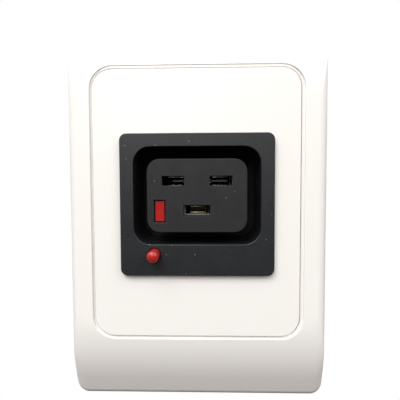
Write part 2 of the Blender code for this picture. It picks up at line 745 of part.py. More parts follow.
def lock_pocket():
    """Low and high corner, in X and Z, of the pocket that holds the earth contact and the lock."""
    window_reach = TAB_WINDOW_HEIGHT / 2 + abs(RED_TAB_Z - EARTH_Z)
    half = max(LOCK_HEIGHT / 2, window_reach) + SEAT_GAP
    right = LOCK_HINGE_RIGHT - GROOVE_REACH / 3
    return (-POCKET_LEFT, EARTH_Z - half), (right, EARTH_Z + half)


def make_contact_carrier(black):
    """The island and the base behind it, hollow for the contacts and the lock."""
    island = rounded_outline(ISLAND_WIDTH, ISLAND_HEIGHT, ISLAND_CORNER, z=ISLAND_Z)
    base = rounded_outline(BODY_WIDTH, BODY_HEIGHT, BODY_CORNER, z=BODY_Z)
    carrier = extruded("contact_carrier", [island], FLANGE_FRONT, RECESS_FLOOR + CARRIER_BASE / 2)
    join(carrier, extruded("carrier_base", [base], RECESS_FLOOR, CARRIER_END))
    for name, x in live_places():
        low = (x - POCKET_WIDTH / 2, POCKET_FRONT, LIVE_Z - POCKET_HEIGHT / 2)
        high = (x + POCKET_WIDTH / 2, CARRIER_END + PAST, LIVE_Z + POCKET_HEIGHT / 2)
        cut(carrier, block(f"{name}_pocket", low, high))
        low = (x - SLOT_WIDTH / 2, FLANGE_FRONT - PAST, LIVE_Z - SLOT_HEIGHT / 2)
        high = (x + SLOT_WIDTH / 2, POCKET_FRONT + PAST, LIVE_Z + SLOT_HEIGHT / 2)
        cut(carrier, block(f"{name}_slot", low, high))
    (left, bottom), (right, top) = lock_pocket()
    cut(carrier, block("lock_pocket", (left, POCKET_FRONT, bottom), (right, CARRIER_END + PAST, top)))
    groove = LOCK_THICKNESS / 2 + SEAT_GAP
    low = (right - PAST, LOCK_HINGE_Y - groove, bottom)
    high = (right + GROOVE_REACH, LOCK_HINGE_Y + groove, top)
    cut(carrier, block("lock_groove", low, high))
    low = (-EARTH_SLOT_WIDTH / 2, FLANGE_FRONT - PAST, EARTH_Z - EARTH_SLOT_HEIGHT / 2)
    high = (EARTH_SLOT_WIDTH / 2, POCKET_FRONT + PAST, EARTH_Z + EARTH_SLOT_HEIGHT / 2)
    cut(carrier, block("earth_slot", low, high))
    half = (TAB_WINDOW_WIDTH / 2, TAB_WINDOW_HEIGHT / 2)
    low = (-RED_TAB_LEFT - half[0], FLANGE_FRONT - PAST, RED_TAB_Z - half[1])
    high = (-RED_TAB_LEFT + half[0], POCKET_FRONT + PAST, RED_TAB_Z + half[1])
    cut(carrier, block("tab_window", low, high))
    stem_hole = STEM_DIAMETER + 2 * SEAT_GAP
    cut(carrier, rod("stem_hole", stem_hole, RECESS_FLOOR - PAST, CARRIER_END + PAST, -PUSH_PIN_LEFT, PUSH_PIN_Z))
    bore = COVER_SCREW_DIAMETER + 2 * SEAT_GAP
    for side in (-1, 1):
        x = side * COVER_SCREW_OUT
        hole = rod(f"base_hole_{side}", bore, RECESS_FLOOR - PAST, CARRIER_END + PAST, x, COVER_SCREW_Z)
        cut(carrier, hole, tongue_notch(f"base_notch_{side}", side, RECESS_FLOOR - PAST, CARRIER_END + PAST))
    edge = FLANGE_FRONT + ISLAND_ROUND
    finish(round_front_edges(carrier, edge, ISLAND_ROUND), black)


def tongue_notch(name, side, front, back):
    """Room for one of the housing's tongues in a piece behind it."""
    x = side * TONGUE_OUT
    half = TONGUE_WIDTH / 2 + SEAT_GAP
    low = (x - half, front, BODY_TOP - TONGUE_THICKNESS - SEAT_GAP)
    return block(name, low, (x + half, back, BODY_TOP + PAST))


# Rear cover

def make_rear_cover(black):
    """The cap behind the carrier, with collars for the tabs, screw bosses and the spring's post."""
    outline = rounded_outline(BODY_WIDTH, BODY_HEIGHT, BODY_CORNER, z=BODY_Z)
    inside = rounded_outline(
        BODY_WIDTH - 2 * REAR_WALL, BODY_HEIGHT - 2 * REAR_WALL, BODY_CORNER / 2, z=BODY_Z
    )
    cover = extruded("rear_cover", [outline], REAR_COVER_FRONT, REAR_COVER_END)
    cut(cover, extruded("chamber", [inside], REAR_COVER_FRONT - PAST, CHAMBER_END))
    root = CHAMBER_END + REAR_WALL / 2
    bore = COVER_SCREW_DIAMETER + 2 * SEAT_GAP
    for side in (-1, 1):
        boss = rod(
            f"cover_boss_{side}", COVER_SCREW_BOSS, REAR_COVER_FRONT, root, side * COVER_SCREW_OUT, COVER_SCREW_Z
        )
        join(cover, boss)
    for side in (-1, 1):
        hole = rod(
            f"cover_bore_{side}", bore, REAR_COVER_FRONT - PAST, REAR_COVER_END + PAST,
            side * COVER_SCREW_OUT, COVER_SCREW_Z,
        )
        cut(cover, hole)
        pad_half = TONGUE_WIDTH / 2 + SEAT_GAP + REAR_WALL / 2
        pad_top = BODY_TOP - REAR_WALL / 2
        pad_low = (side * TONGUE_OUT - pad_half, REAR_COVER_FRONT, BODY_TOP - TONGUE_THICKNESS - REAR_WALL)
        join(cover, block(f"tongue_pad_{side}", pad_low, (side * TONGUE_OUT + pad_half, root, pad_top)))
        end = HOUSING_END + TONGUE_LENGTH + SEAT_GAP
        cut(cover, tongue_notch(f"cover_notch_{side}", side, REAR_COVER_FRONT - PAST, end))
        join(cover, snap_nub(side))
    add_tab_collars(cover)
    add_barriers(cover)
    post = lock_spring_seat()
    half = LOCK_SPRING_DIAMETER / 2
    low = (-LOCK_SPRING_LEFT - half, post, EARTH_Z - half)
    join(cover, block("spring_post", low, (-LOCK_SPRING_LEFT + half, root, EARTH_Z + half)))
    finish(cover, black)


def snap_nub(side):
    """The wedge on the rear cover that snaps into the window of a tongue."""
    far = HOUSING_END + TONGUE_LENGTH - TONGUE_THICKNESS - SEAT_GAP
    near = far - TONGUE_HOLE_LENGTH + 2 * SEAT_GAP
    floor = BODY_TOP - TONGUE_THICKNESS - 2 * SEAT_GAP
    top = BODY_TOP - SEAT_GAP
    half = TONGUE_WIDTH / 4 - SEAT_GAP
    outline = [(near, floor), (far, floor), (far, top), (far - SEAT_GAP, top)]
    low = [(side * TONGUE_OUT - half, y, z) for y, z in outline]
    high = [(side * TONGUE_OUT + half, y, z) for y, z in outline]
    return lofted(f"snap_nub_{side}", [low, high])


def contact_places():
    """Name, x, z and forward reach into the island of each contact."""
    live = [(name, x, LIVE_Z, CONTACT_REACH) for name, x in live_places()]
    return [*live, ("earth", 0.0, EARTH_Z, EARTH_REACH)]


def add_tab_collars(cover):
    """A collar with a slot for each contact's tab, which presses the contact's shoulder home."""
    front = CARRIER_END + SEAT_GAP + SHOULDER_LENGTH + SEAT_GAP
    root = CHAMBER_END + REAR_WALL / 2
    half_x = TAB_WIDTH / 2 + SEAT_GAP
    half_z = STRIP / 2 + SEAT_GAP
    for name, x, z, _ in contact_places():
        low = (x - half_x - COLLAR_WALL, front, z - half_z - COLLAR_WALL)
        high = (x + half_x + COLLAR_WALL, root, z + half_z + COLLAR_WALL)
        join(cover, block(f"{name}_collar", low, high))
    for name, x, z, _ in contact_places():
        low = (x - half_x, front - PAST, z - half_z)
        high = (x + half_x, REAR_COVER_END + PAST, z + half_z)
        cut(cover, block(f"{name}_tab_slot", low, high))


def add_barriers(cover):
    """Walls between the tabs on the outside, which keep the connectors apart."""
    root = REAR_COVER_END - REAR_WALL / 2
    back = REAR_COVER_END + BARRIER_DEPTH
    half = BARRIER_THICKNESS / 2
    reach = PIN_SPACING / 2 + TAB_WIDTH
    across = block("barrier_across", (-reach, root, ISLAND_Z - half), (reach, back, ISLAND_Z + half))
    height = LIVE_Z + POCKET_HEIGHT / 2
    upright = block("barrier_upright", (-half, root, ISLAND_Z), (half, back, height))
    join(cover, across, upright)


def make_cover_screw(name, side, zinc):
    """A small screw through the rear cover and the carrier into the housing."""
    under_head = REAR_COVER_END + SEAT_GAP
    top = under_head + COVER_SCREW_HEAD_HEIGHT
    tip = under_head - COVER_SCREW_LENGTH
    radius = COVER_SCREW_DIAMETER / 2
    head = COVER_SCREW_HEAD / 2
    profile = [
        (0.0, tip),
        (radius / 3, tip),
        (radius, tip + COVER_SCREW_DIAMETER),
        (radius, under_head),
        (head, under_head),
        (head, top - COVER_SCREW_HEAD_HEIGHT / 2),
        (head * 0.8, top),
        (0.0, top),
    ]
    x = side * COVER_SCREW_OUT
    screw = turned(f"cover_screw_{name}", profile, x, COVER_SCREW_Z)
    half = SCREW_DRIVER_WIDTH / 4
    for index, (reach_x, reach_z) in enumerate(((head * 0.6, half), (half, head * 0.6))):
        low = (x - reach_x, top - COVER_SCREW_HEAD_HEIGHT / 2, COVER_SCREW_Z - reach_z)
        high = (x + reach_x, top + PAST, COVER_SCREW_Z + reach_z)
        cut(screw, block(f"cross_{name}_{index}", low, high))
    finish(screw, zinc)


# Contacts and their clips

def strip_solid(name, path, across, thickness, place):
    """A strip folded along a path of (y, z) points, of one width across X, about a place."""
    mesh = bpy.data.meshes.new(name)
    half = across / 2
    x, z0 = place
    points = [(x + side * half, y, z0 + z) for y, z in path for side in (-1, 1)]
    faces = [(2 * i, 2 * i + 1, 2 * i + 3, 2 * i + 2) for i in range(len(path) - 1)]
    mesh.from_pydata(points, [], faces)
    obj = add_object(name, mesh)
    solidify = obj.modifiers.new("Strip", "SOLIDIFY")
    solidify.thickness = thickness
    solidify.offset = 0.0
    solidify.use_even_offset = True
    return baked(obj)


def contact_path(mouth):
    """The centre line of a contact's two leaves, from one lip round the web to the other."""
    half = STRIP / 2
    web = FLANGE_FRONT + CONTACT_DEPTH
    throat = mouth + 0.2 * (web - mouth)
    leaf = [
        (mouth, CONTACT_MOUTH + half),
        ((mouth + throat) / 2, (CONTACT_MOUTH + CONTACT_THROAT) / 2.4 + half),
        (throat, CONTACT_THROAT + half),
        (throat + 0.2 * (web - throat), CONTACT_ARM + half),
        (web - STRIP, CONTACT_ARM + half),
        (web, CONTACT_ARM * 0.6 + half),
    ]
    return leaf + [(y, -z) for y, z in reversed(leaf)], web


def make_contact(name, x, z, reach, brass):
    """A folded contact: two sprung leaves, a shoulder and a tab that leaves the rear cover."""
    mouth = FLANGE_FRONT + reach
    path, web = contact_path(mouth)
    contact = strip_solid(f"{name}_contact", path, CONTACT_WIDTH, STRIP, (x, z))
    end = REAR_COVER_END + TAB_LENGTH
    half = STRIP / 2
    wide = TAB_WIDTH / 2
    tab_outline = [
        (x - wide, web - half / 2), (x + wide, web - half / 2), (x + wide, end - TAB_TAPER),
        (x + wide - TAB_TAPER, end), (x - wide + TAB_TAPER, end), (x - wide, end - TAB_TAPER),
    ]
    low = [(px, py, z - half) for px, py in tab_outline]
    high = [(px, py, z + half) for px, py, _ in low]
    join(contact, lofted(f"{name}_tab", [low, high]))
    right = x + POCKET_WIDTH / 2 + SHOULDER_OVERLAP
    left = x - POCKET_WIDTH / 2 - SHOULDER_OVERLAP
    if name == "earth":
        right = lock_pocket()[1][0] + SHOULDER_OVERLAP
        left = x - wide + WELD
    front = CARRIER_END + SEAT_GAP
    low = (left, front, z - half + WELD)
    join(contact, block(f"{name}_shoulder", low, (right, front + SHOULDER_LENGTH, z + half - WELD)))
    hole = rod(f"{name}_tab_hole", TAB_HOLE, -half - PAST, half + PAST, 0.0, 0.0)
    hole.data.transform(Matrix.Rotation(math.pi / 2, 4, "X"))
    hole.data.transform(Matrix.Translation((x, end - TAB_LENGTH / 2, z)))
    cut(contact, hole)
    finish(contact, brass)


def make_clip(name, x, z, reach, steel):
    """A steel clip, bent in a C round the two leaves, that keeps them pressed together."""
    start = FLANGE_FRONT + reach + CLIP_PLACE
    inner = CONTACT_ARM + STRIP + SEAT_GAP
    outer = inner + CLIP_STRIP
    far = x + CONTACT_WIDTH / 2 + SEAT_GAP
    near = x - CONTACT_WIDTH / 2
    outline = [
        (near, z - outer), (far + CLIP_STRIP, z - outer), (far + CLIP_STRIP, z + outer),
        (near, z + outer), (near, z + inner), (far, z + inner), (far, z - inner), (near, z - inner),
    ]
    finish(extruded(f"{name}_clip", [outline], start, start + CLIP_LENGTH), steel)


# Release slider, lock plate and springs

def make_release_slider(red):
    """One red moulding: the push pin, its rail and stem, the bridge and the tab in the island."""
    x = -PUSH_PIN_LEFT
    radius = PUSH_PIN_DIAMETER / 2
    tip = FLANGE_FRONT - PUSH_PIN_PROUD
    rail_front = CHANNEL_FRONT + SEAT_GAP
    dome = []
    for step in range(6):
        angle = step * math.pi / 2 / 5
        dome.append((radius * math.sin(angle), tip + PUSH_PIN_DOME * (1 - math.cos(angle))))
    rail_back = rail_front + SHOULDER_BLOCK
    profile = [*dome, (radius, rail_front + PAST), (0.0, rail_front + PAST)]
    slider = turned("release_slider", profile, x, PUSH_PIN_Z)
    x_low, x_high, z_low, z_high = slider_channel()
    join(slider, block("rail", (x_low, rail_front, z_low), (x_high, rail_back, z_high)))
    bridge_back = BRIDGE_FRONT + BRIDGE_THICKNESS
    join(slider, rod("stem", STEM_DIAMETER, rail_back - PAST, BRIDGE_FRONT + PAST, x, PUSH_PIN_Z))
    tab_low = -RED_TAB_LEFT - RED_TAB_WIDTH / 2
    tab_high = -RED_TAB_INNER
    low = (x - 0.75 * STEM_DIAMETER, BRIDGE_FRONT, PUSH_PIN_Z - 0.75 * STEM_DIAMETER)
    high = (tab_high, bridge_back, RED_TAB_Z + RED_TAB_HEIGHT / 2)
    join(slider, block("bridge", low, high))
    low = (tab_low, FLANGE_FRONT + RED_TAB_INSET, RED_TAB_Z - RED_TAB_HEIGHT / 2)
    high = (tab_high - WELD, BRIDGE_FRONT + PAST, RED_TAB_Z + RED_TAB_HEIGHT / 2 - WELD)
    join(slider, block("tab_leg", low, high))
    tip_y = LOCK_HINGE_Y - LOCK_LEVER * math.sin(LOCK_TILT)
    room = LOCK_THICKNESS / 2 + SEAT_GAP + NOTCH_DEPTH * math.sin(LOCK_TILT)
    low = (tab_high - NOTCH_DEPTH, tip_y - room, RED_TAB_Z - RED_TAB_HEIGHT)
    high = (tab_high + PAST, tip_y + room, RED_TAB_Z + RED_TAB_HEIGHT)
    cut(slider, block("lock_notch", low, high))
    slider = baked(slider)
    put_origin(slider, (x, FLANGE_FRONT, PUSH_PIN_Z))
    finish(slider, red)


def make_lock_plate(steel):
    """The plate whose edges bite the earth pin; it stands tilted at rest and turns about its right end."""
    left = -LOCK_LEVER - LOCK_TIP
    right = LOCK_HEEL
    half = LOCK_HEIGHT / 2
    outline = [(left, -half), (right, -half), (right, half), (left, half)]
    middle = -LOCK_HINGE_RIGHT
    hole_x = LOCK_HOLE_WIDTH / 2
    hole_z = LOCK_HOLE_HEIGHT / 2
    hole = [
        (middle - hole_x, -hole_z), (middle + hole_x, -hole_z),
        (middle + hole_x, hole_z), (middle - hole_x, hole_z),
    ]
    plate = extruded("lock_plate", [outline, hole], -LOCK_THICKNESS / 2, LOCK_THICKNESS / 2)
    plate.location = (LOCK_HINGE_RIGHT, LOCK_HINGE_Y, EARTH_Z)
    plate.rotation_euler.z = LOCK_TILT
    finish(plate, steel)


def make_coil(name, diameter, turns, front, back, x, z, steel):
    """A compression spring along Y, its end turns close together."""
    radius = (diameter - SPRING_WIRE) / 2
    steps = turns * COIL_SIDES
    curve = bpy.data.curves.new(name, "CURVE")
    curve.dimensions = "3D"
    curve.bevel_depth = SPRING_WIRE / 2
    curve.bevel_resolution = 2
    curve.use_fill_caps = True
    spline = curve.splines.new("POLY")
    spline.points.add(steps)
    length = back - front - SPRING_WIRE
    for index, point in enumerate(spline.points):
        share = index / steps
        closed = 0.35 * math.sin(2 * math.pi * share) / (2 * math.pi)
        angle = 2 * math.pi * index / COIL_SIDES
        y = front + SPRING_WIRE / 2 + length * (share - closed)
        point.co = (x + radius * math.cos(angle), y, z + radius * math.sin(angle), 1.0)
    curve.materials.append(steel)
    add_object(name, curve)


def lock_spring_seat():
    """Y of the post's front, a spring's length behind the tilted lock plate."""
    lever = LOCK_HINGE_RIGHT + LOCK_SPRING_LEFT
    back_face = LOCK_HINGE_Y - lever * math.sin(LOCK_TILT) + LOCK_THICKNESS / 2
    slack = LOCK_SPRING_DIAMETER / 2 * math.sin(LOCK_TILT)
    return back_face + slack + SEAT_GAP + LOCK_SPRING_LENGTH + SEAT_GAP


def make_springs(steel):
    """The slider's return spring on its stem, and the lock plate's spring on its post."""
    front = CHANNEL_FRONT + SEAT_GAP + SHOULDER_BLOCK + SEAT_GAP
    back = RECESS_FLOOR - SEAT_GAP
    make_coil(
        "release_spring", RELEASE_SPRING_DIAMETER, RELEASE_SPRING_TURNS, front, back,
        -PUSH_PIN_LEFT, PUSH_PIN_Z, steel,
    )
    back = lock_spring_seat() - SEAT_GAP
    front = back - LOCK_SPRING_LENGTH
    make_coil(
        "lock_spring", LOCK_SPRING_DIAMETER, LOCK_SPRING_TURNS, front, back,
        -LOCK_SPRING_LEFT, EARTH_Z, steel,
    )


def main():
    clear_scene()
    white = material("white_plastic", (0.86, 0.85, 0.82), 0.35)
    black = material("black_polyamide", (0.035, 0.036, 0.038), 0.5)
    red = material("red_plastic", (0.55, 0.03, 0.02), 0.35)
    brass = material("brass", (0.60, 0.47, 0.22), 0.3, 1.0)
    steel = material("stainless_steel", (0.55, 0.56, 0.57), 0.3, 1.0)
    zinc = material("zinc_plated_steel", (0.60, 0.62, 0.64), 0.35, 1.0)
    nylon = material("nylon", (0.75, 0.74, 0.68), 0.6)
    make_surround_cover(white)
    make_grid_plate(white)
    for name, z in screw_places():
        make_fixing(name, z, zinc, nylon)
    make_outlet_housing(black)
    make_contact_carrier(black)
    make_rear_cover(black)
    for name, side in (("left", -1), ("right", 1)):
        make_cover_screw(name, side, zinc)
    for place in contact_places():
        make_contact(*place, brass)
        make_clip(*place, steel)
    make_release_slider(red)
    make_lock_plate(steel)
    make_springs(steel)


main()
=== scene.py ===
"""Looks for a wall socket: a white wall plate round a black outlet that locks its plug.

Metres, +Z up. The wall is the plane Y = 0 and the plate's front faces -Y. Sizes in the classes are
in millimetres, and the functions that make meshes turn them to metres.
"""

import logging
import math
from dataclasses import dataclass, field
from enum import Enum
from typing import Any, Mapping, Sequence

import bmesh
import bpy
from mathutils import Matrix, Vector

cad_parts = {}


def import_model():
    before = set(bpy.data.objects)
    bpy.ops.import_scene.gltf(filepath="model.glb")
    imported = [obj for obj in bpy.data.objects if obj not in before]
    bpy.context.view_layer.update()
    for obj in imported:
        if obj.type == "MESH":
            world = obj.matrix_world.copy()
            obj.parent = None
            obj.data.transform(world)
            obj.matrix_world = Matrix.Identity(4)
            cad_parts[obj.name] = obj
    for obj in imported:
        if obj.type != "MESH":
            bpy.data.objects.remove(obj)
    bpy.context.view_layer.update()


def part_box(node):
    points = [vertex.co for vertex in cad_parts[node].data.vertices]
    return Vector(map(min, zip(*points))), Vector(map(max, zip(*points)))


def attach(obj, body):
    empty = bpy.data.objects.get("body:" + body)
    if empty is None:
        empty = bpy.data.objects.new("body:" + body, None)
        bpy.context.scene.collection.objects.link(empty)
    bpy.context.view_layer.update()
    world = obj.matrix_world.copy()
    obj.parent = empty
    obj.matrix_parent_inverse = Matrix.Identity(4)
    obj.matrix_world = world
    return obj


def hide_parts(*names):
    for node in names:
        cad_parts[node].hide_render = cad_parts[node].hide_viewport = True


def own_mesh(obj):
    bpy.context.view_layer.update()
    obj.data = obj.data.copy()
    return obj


MM = 0.001  # a millimetre in metres
WELD = 2e-6  # metres within which two corners of the frame's triangles are one
REACH = 1.0  # millimetres by which a cutting tool stands out of what it cuts
SHARP = 38.0  # degrees above which an edge is drawn crisp, and is rounded
FLAT_WEIGHT = 80  # how strongly large faces pull the shading of their edges, of 100
NOISE_RANGE = (0.3, 0.7)  # where nearly all values of a noise lie
MIX_A, MIX_B, MIX_RESULT = 6, 7, 2  # the Mix node's sockets for colours, which have no names of their own

Point = tuple[float, float]  # across and up, in millimetres
Sides = tuple[float, float, float, float]  # at the left, right, bottom and top, in millimetres
Ring = list[Vector]  # places in metres
Colour = tuple[float, float, float, float]  # linear red, green and blue, and alpha


class Body(Enum):
    """The moving bodies of the part."""

    SOCKET = "socket"
    RELEASE = "release"
    LOCK = "lock"


class Recess(Enum):
    """What the driver goes into on a screw's head."""

    SLOT = "slot"
    CROSS = "cross"


# Materials


def linear(colour: str) -> Colour:
    """Turns an sRGB colour into the linear one that the shaders take.

    Args:
        colour: Hex text such as "#F2EFE9".

    Returns:
        Linear red, green and blue, and an alpha of one.
    """
    channels = [int(colour[start : start + 2], 16) / 255 for start in (1, 3, 5)]
    low = [channel / 12.92 for channel in channels]
    high = [((channel + 0.055) / 1.055) ** 2.4 for channel in channels]
    red, green, blue = (a if c <= 0.04045 else b for a, b, c in zip(low, high, channels))
    return red, green, blue, 1.0


def wire(tree: bpy.types.NodeTree, node: bpy.types.Node, inputs: Mapping[Any, Any]) -> None:
    """Fills a node's inputs.

    Args:
        tree: The tree that holds the node.
        node: The node to fill.
        inputs: For each input's name or number, a value to set or a socket to link.
    """
    for key, value in inputs.items():
        if isinstance(value, bpy.types.NodeSocket):
            tree.links.new(value, node.inputs[key])
        else:
            node.inputs[key].default_value = value


def add_node(
    tree: bpy.types.NodeTree,
    kind: str,
    inputs: Mapping[Any, Any] | None = None,
    output: Any = 0,
    **settings: Any,
) -> bpy.types.NodeSocket:
    """Adds a node with its settings and links.

    Args:
        tree: The tree that takes the node.
        kind: Blender's type name of the node.
        inputs: Values and links for its inputs.
        output: Name or number of the output that is wanted.
        **settings: Properties of the node itself.

    Returns:
        The output socket that was asked for.
    """
    node = tree.nodes.new(kind)
    for name, value in settings.items():
        setattr(node, name, value)
    wire(tree, node, inputs or {})
    return node.outputs[output]


def per_metre(size: float) -> float:
    """How many features of this size in millimetres fill a metre, which is a texture's scale."""
    return 1 / (size * MM)


@dataclass(frozen=True)
class Finish:
    """What every finish has: a name, a record slot (not used), a colour and its shade, and its gloss.

    Sizes of patterns are in millimetres. The roughening is how far a pattern takes the roughness down
    and up.
    """

    name: str
    slot: str
    colour: str
    shade: str
    roughness: float
    ior: float = 1.5
    metallic: float = 0.0
    roughening: tuple[float, float] = (0.0, 0.0)

    def pattern(self, tree: bpy.types.NodeTree, place: bpy.types.NodeSocket) -> dict[str, Any]:
        """Gives what varies over the surface.

        Args:
            tree: The material's node tree.
            place: The coordinates on the piece, in metres.

        Returns:
            The shader inputs that the pattern drives.
        """
        raise NotImplementedError

    def make(self) -> bpy.types.Material:
        """Builds the material, unless it is there already.

        Returns:
            The material.
        """
        found = bpy.data.materials.get(self.name)
        if found:
            return found
        material = bpy.data.materials.new(self.name)
        material.use_nodes = True
        tree = material.node_tree
        shader = tree.nodes["Principled BSDF"]
        base = {"Base Color": linear(self.colour), "Roughness": self.roughness, "Metallic": self.metallic}
        wire(tree, shader, base)
        if not self.metallic:
            shader.inputs["IOR"].default_value = self.ior
        place = add_node(tree, "ShaderNodeTexCoord", output="Object")
        wire(tree, shader, self.pattern(tree, place))
        return material

    def tone(self, tree: bpy.types.NodeTree, share: bpy.types.NodeSocket) -> bpy.types.NodeSocket:
        """The colour between the finish's colour and its shade, by a share from 0 to 1."""
        inputs = {"Factor": share, MIX_A: linear(self.colour), MIX_B: linear(self.shade)}
        return add_node(tree, "ShaderNodeMix", inputs, MIX_RESULT, data_type="RGBA")

    def spread(
        self,
        tree: bpy.types.NodeTree,
        noise: bpy.types.NodeSocket,
        low: float = 0.0,
        high: float = 1.0,
    ) -> bpy.types.NodeSocket:
        """Spreads the usual range of a noise.

        Args:
            tree: The material's node tree.
            noise: The noise's output.
            low: What its low end becomes.
            high: What its high end becomes.

        Returns:
            The spread value.
        """
        start, end = NOISE_RANGE
        inputs = {"Value": noise, "From Min": start, "From Max": end, "To Min": low, "To Max": high}
        return add_node(tree, "ShaderNodeMapRange", inputs)

    def gloss(self, tree: bpy.types.NodeTree, noise: bpy.types.NodeSocket) -> bpy.types.NodeSocket:
        """The roughness, taken down and up by a noise."""
        low, high = (self.roughness + change for change in self.roughening)
        return self.spread(tree, noise, low, high)


@dataclass(frozen=True)
class MouldedPolycarbonate(Finish):
    """Polycarbonate, injection moulded in a polished tool.

    The eye gets a warm white with a broad soft highlight. Faint flow marks from the gate change its
    gloss over a few centimetres, and a shallow orange peel keeps the highlight from being a mirror's.
    """

    roughening: tuple[float, float] = (-0.015, 0.015)
    flow: float = 26.0
    peel: float = 2.2
    peel_height: float = 0.006

    def pattern(self, tree: bpy.types.NodeTree, place: bpy.types.NodeSocket) -> dict[str, Any]:
        """Flow marks in colour and gloss, and orange peel as bump.

        Args:
            tree: The material's node tree.
            place: The coordinates on the piece, in metres.

        Returns:
            The shader inputs for colour, gloss and bump.
        """
        inputs = {"Vector": place, "Scale": per_metre(self.flow), "Detail": 3.0, "Distortion": 0.6}
        flow = add_node(tree, "ShaderNodeTexNoise", inputs)
        inputs = {"Vector": place, "Scale": per_metre(self.peel), "Detail": 1.0}
        peel = add_node(tree, "ShaderNodeTexNoise", inputs)
        bump = {"Height": peel, "Distance": self.peel_height * MM, "Strength": 1.0}
        return {
            "Base Color": self.tone(tree, self.spread(tree, flow)),
            "Roughness": self.gloss(tree, flow),
            "Normal": add_node(tree, "ShaderNodeBump", bump),
        }


@dataclass(frozen=True)
class SparkErodedPolyamide(Finish):
    """Glass-filled polyamide, moulded in a spark-eroded tool.

    The eye gets a near-black grey with a dull sheen, broken by a fine pebble grain. Such a surface
    always holds dust: a thin film of it makes the grain's tops paler, and single specks of it show.
    The real grain is about 0.1 mm, too fine to show in the render, so it is drawn at 0.42 mm.

    The dust's share is how many cells of its grid hold a speck, and its core is the share of a speck
    that is fully pale. The film is how far it turns the grain's tops to the dust's colour.
    """

    roughening: tuple[float, float] = (-0.04, 0.05)
    grain: float = 0.42
    grain_height: float = 0.028
    cloud: float = 5.0
    dust_spacing: float = 2.1
    dust_size: float = 0.17
    dust_share: float = 0.5
    dust_core: float = 0.4
    dust_colour: str = "#96938D"
    film: float = 0.028

    def pattern(self, tree: bpy.types.NodeTree, place: bpy.types.NodeSocket) -> dict[str, Any]:
        """Pebble grain as bump, clouded gloss, single specks of dust and a film of it in the grain.

        Args:
            tree: The material's node tree.
            place: The coordinates on the piece, in metres.

        Returns:
            The shader inputs for colour, gloss and bump.
        """
        inputs = {"Vector": place, "Scale": per_metre(self.grain), "Detail": 2.0, "Roughness": 0.6}
        grain = add_node(tree, "ShaderNodeTexNoise", inputs)
        inputs = {"Vector": place, "Scale": per_metre(self.cloud), "Detail": 4.0}
        cloud = add_node(tree, "ShaderNodeTexNoise", inputs)
        bump = {"Height": grain, "Distance": self.grain_height * MM, "Strength": 1.0}
        film = self.spread(tree, grain, 0.0, self.film)
        shares = {0: self.dust(tree, place), 1: film}
        mixed = {
            "Factor": add_node(tree, "ShaderNodeMath", shares, operation="MAXIMUM"),
            MIX_A: self.tone(tree, self.spread(tree, cloud)),
            MIX_B: linear(self.dust_colour),
        }
        return {
            "Base Color": add_node(tree, "ShaderNodeMix", mixed, MIX_RESULT, data_type="RGBA"),
            "Roughness": self.gloss(tree, cloud),
            "Normal": add_node(tree, "ShaderNodeBump", bump),
        }

    def dust(self, tree: bpy.types.NodeTree, place: bpy.types.NodeSocket) -> bpy.types.NodeSocket:
        """Masks single specks, one in some of the cells of a loose grid.

        Args:
            tree: The material's node tree.
            place: The coordinates on the piece, in metres.

        Returns:
            One on a speck and zero beside it.
        """
        inputs = {"Vector": place, "Scale": per_metre(self.dust_spacing)}
        cells = add_node(tree, "ShaderNodeTexVoronoi", inputs)
        size = self.dust_size / self.dust_spacing
        inputs = {"From Min": self.dust_core * size, "From Max": size, "To Min": 1.0, "To Max": 0.0}
        speck = add_node(tree, "ShaderNodeMapRange", {"Value": cells, **inputs})
        drawn = add_node(tree, "ShaderNodeSeparateColor", {"Color": cells.node.outputs["Color"]})
        inputs = {0: drawn, 1: 1 - self.dust_share}
        some = add_node(tree, "ShaderNodeMath", inputs, operation="GREATER_THAN")
        return add_node(tree, "ShaderNodeMath", {0: speck, 1: some}, operation="MULTIPLY")


@dataclass(frozen=True)
class MouldedAcetal(Finish):
    """Acetal coloured through, moulded in a smooth tool.

    The eye gets a saturated red with a waxy gloss, slightly streaked by the flow of the pigment.
    """

    roughening: tuple[float, float] = (-0.05, 0.08)
    streak: float = 1.8
    waviness: float = 0.5
    wave_height: float = 0.055

    def pattern(self, tree: bpy.types.NodeTree, place: bpy.types.NodeSocket) -> dict[str, Any]:
        """Pigment streaks in colour, and shallow waves as bump.

        Args:
            tree: The material's node tree.
            place: The coordinates on the piece, in metres.

        Returns:
            The shader inputs for colour, gloss and bump.
        """
        inputs = {"Vector": place, "Scale": per_metre(self.streak), "Detail": 3.0, "Distortion": 1.2}
        streak = add_node(tree, "ShaderNodeTexNoise", inputs)
        inputs = {"Vector": place, "Scale": per_metre(self.waviness), "Detail": 1.0}
        wave = add_node(tree, "ShaderNodeTexNoise", inputs)
        bump = {"Height": wave, "Distance": self.wave_height * MM, "Strength": 1.0}
        return {
            "Base Color": self.tone(tree, self.spread(tree, streak)),
            "Roughness": self.gloss(tree, streak),
            "Normal": add_node(tree, "ShaderNodeBump", bump),
        }


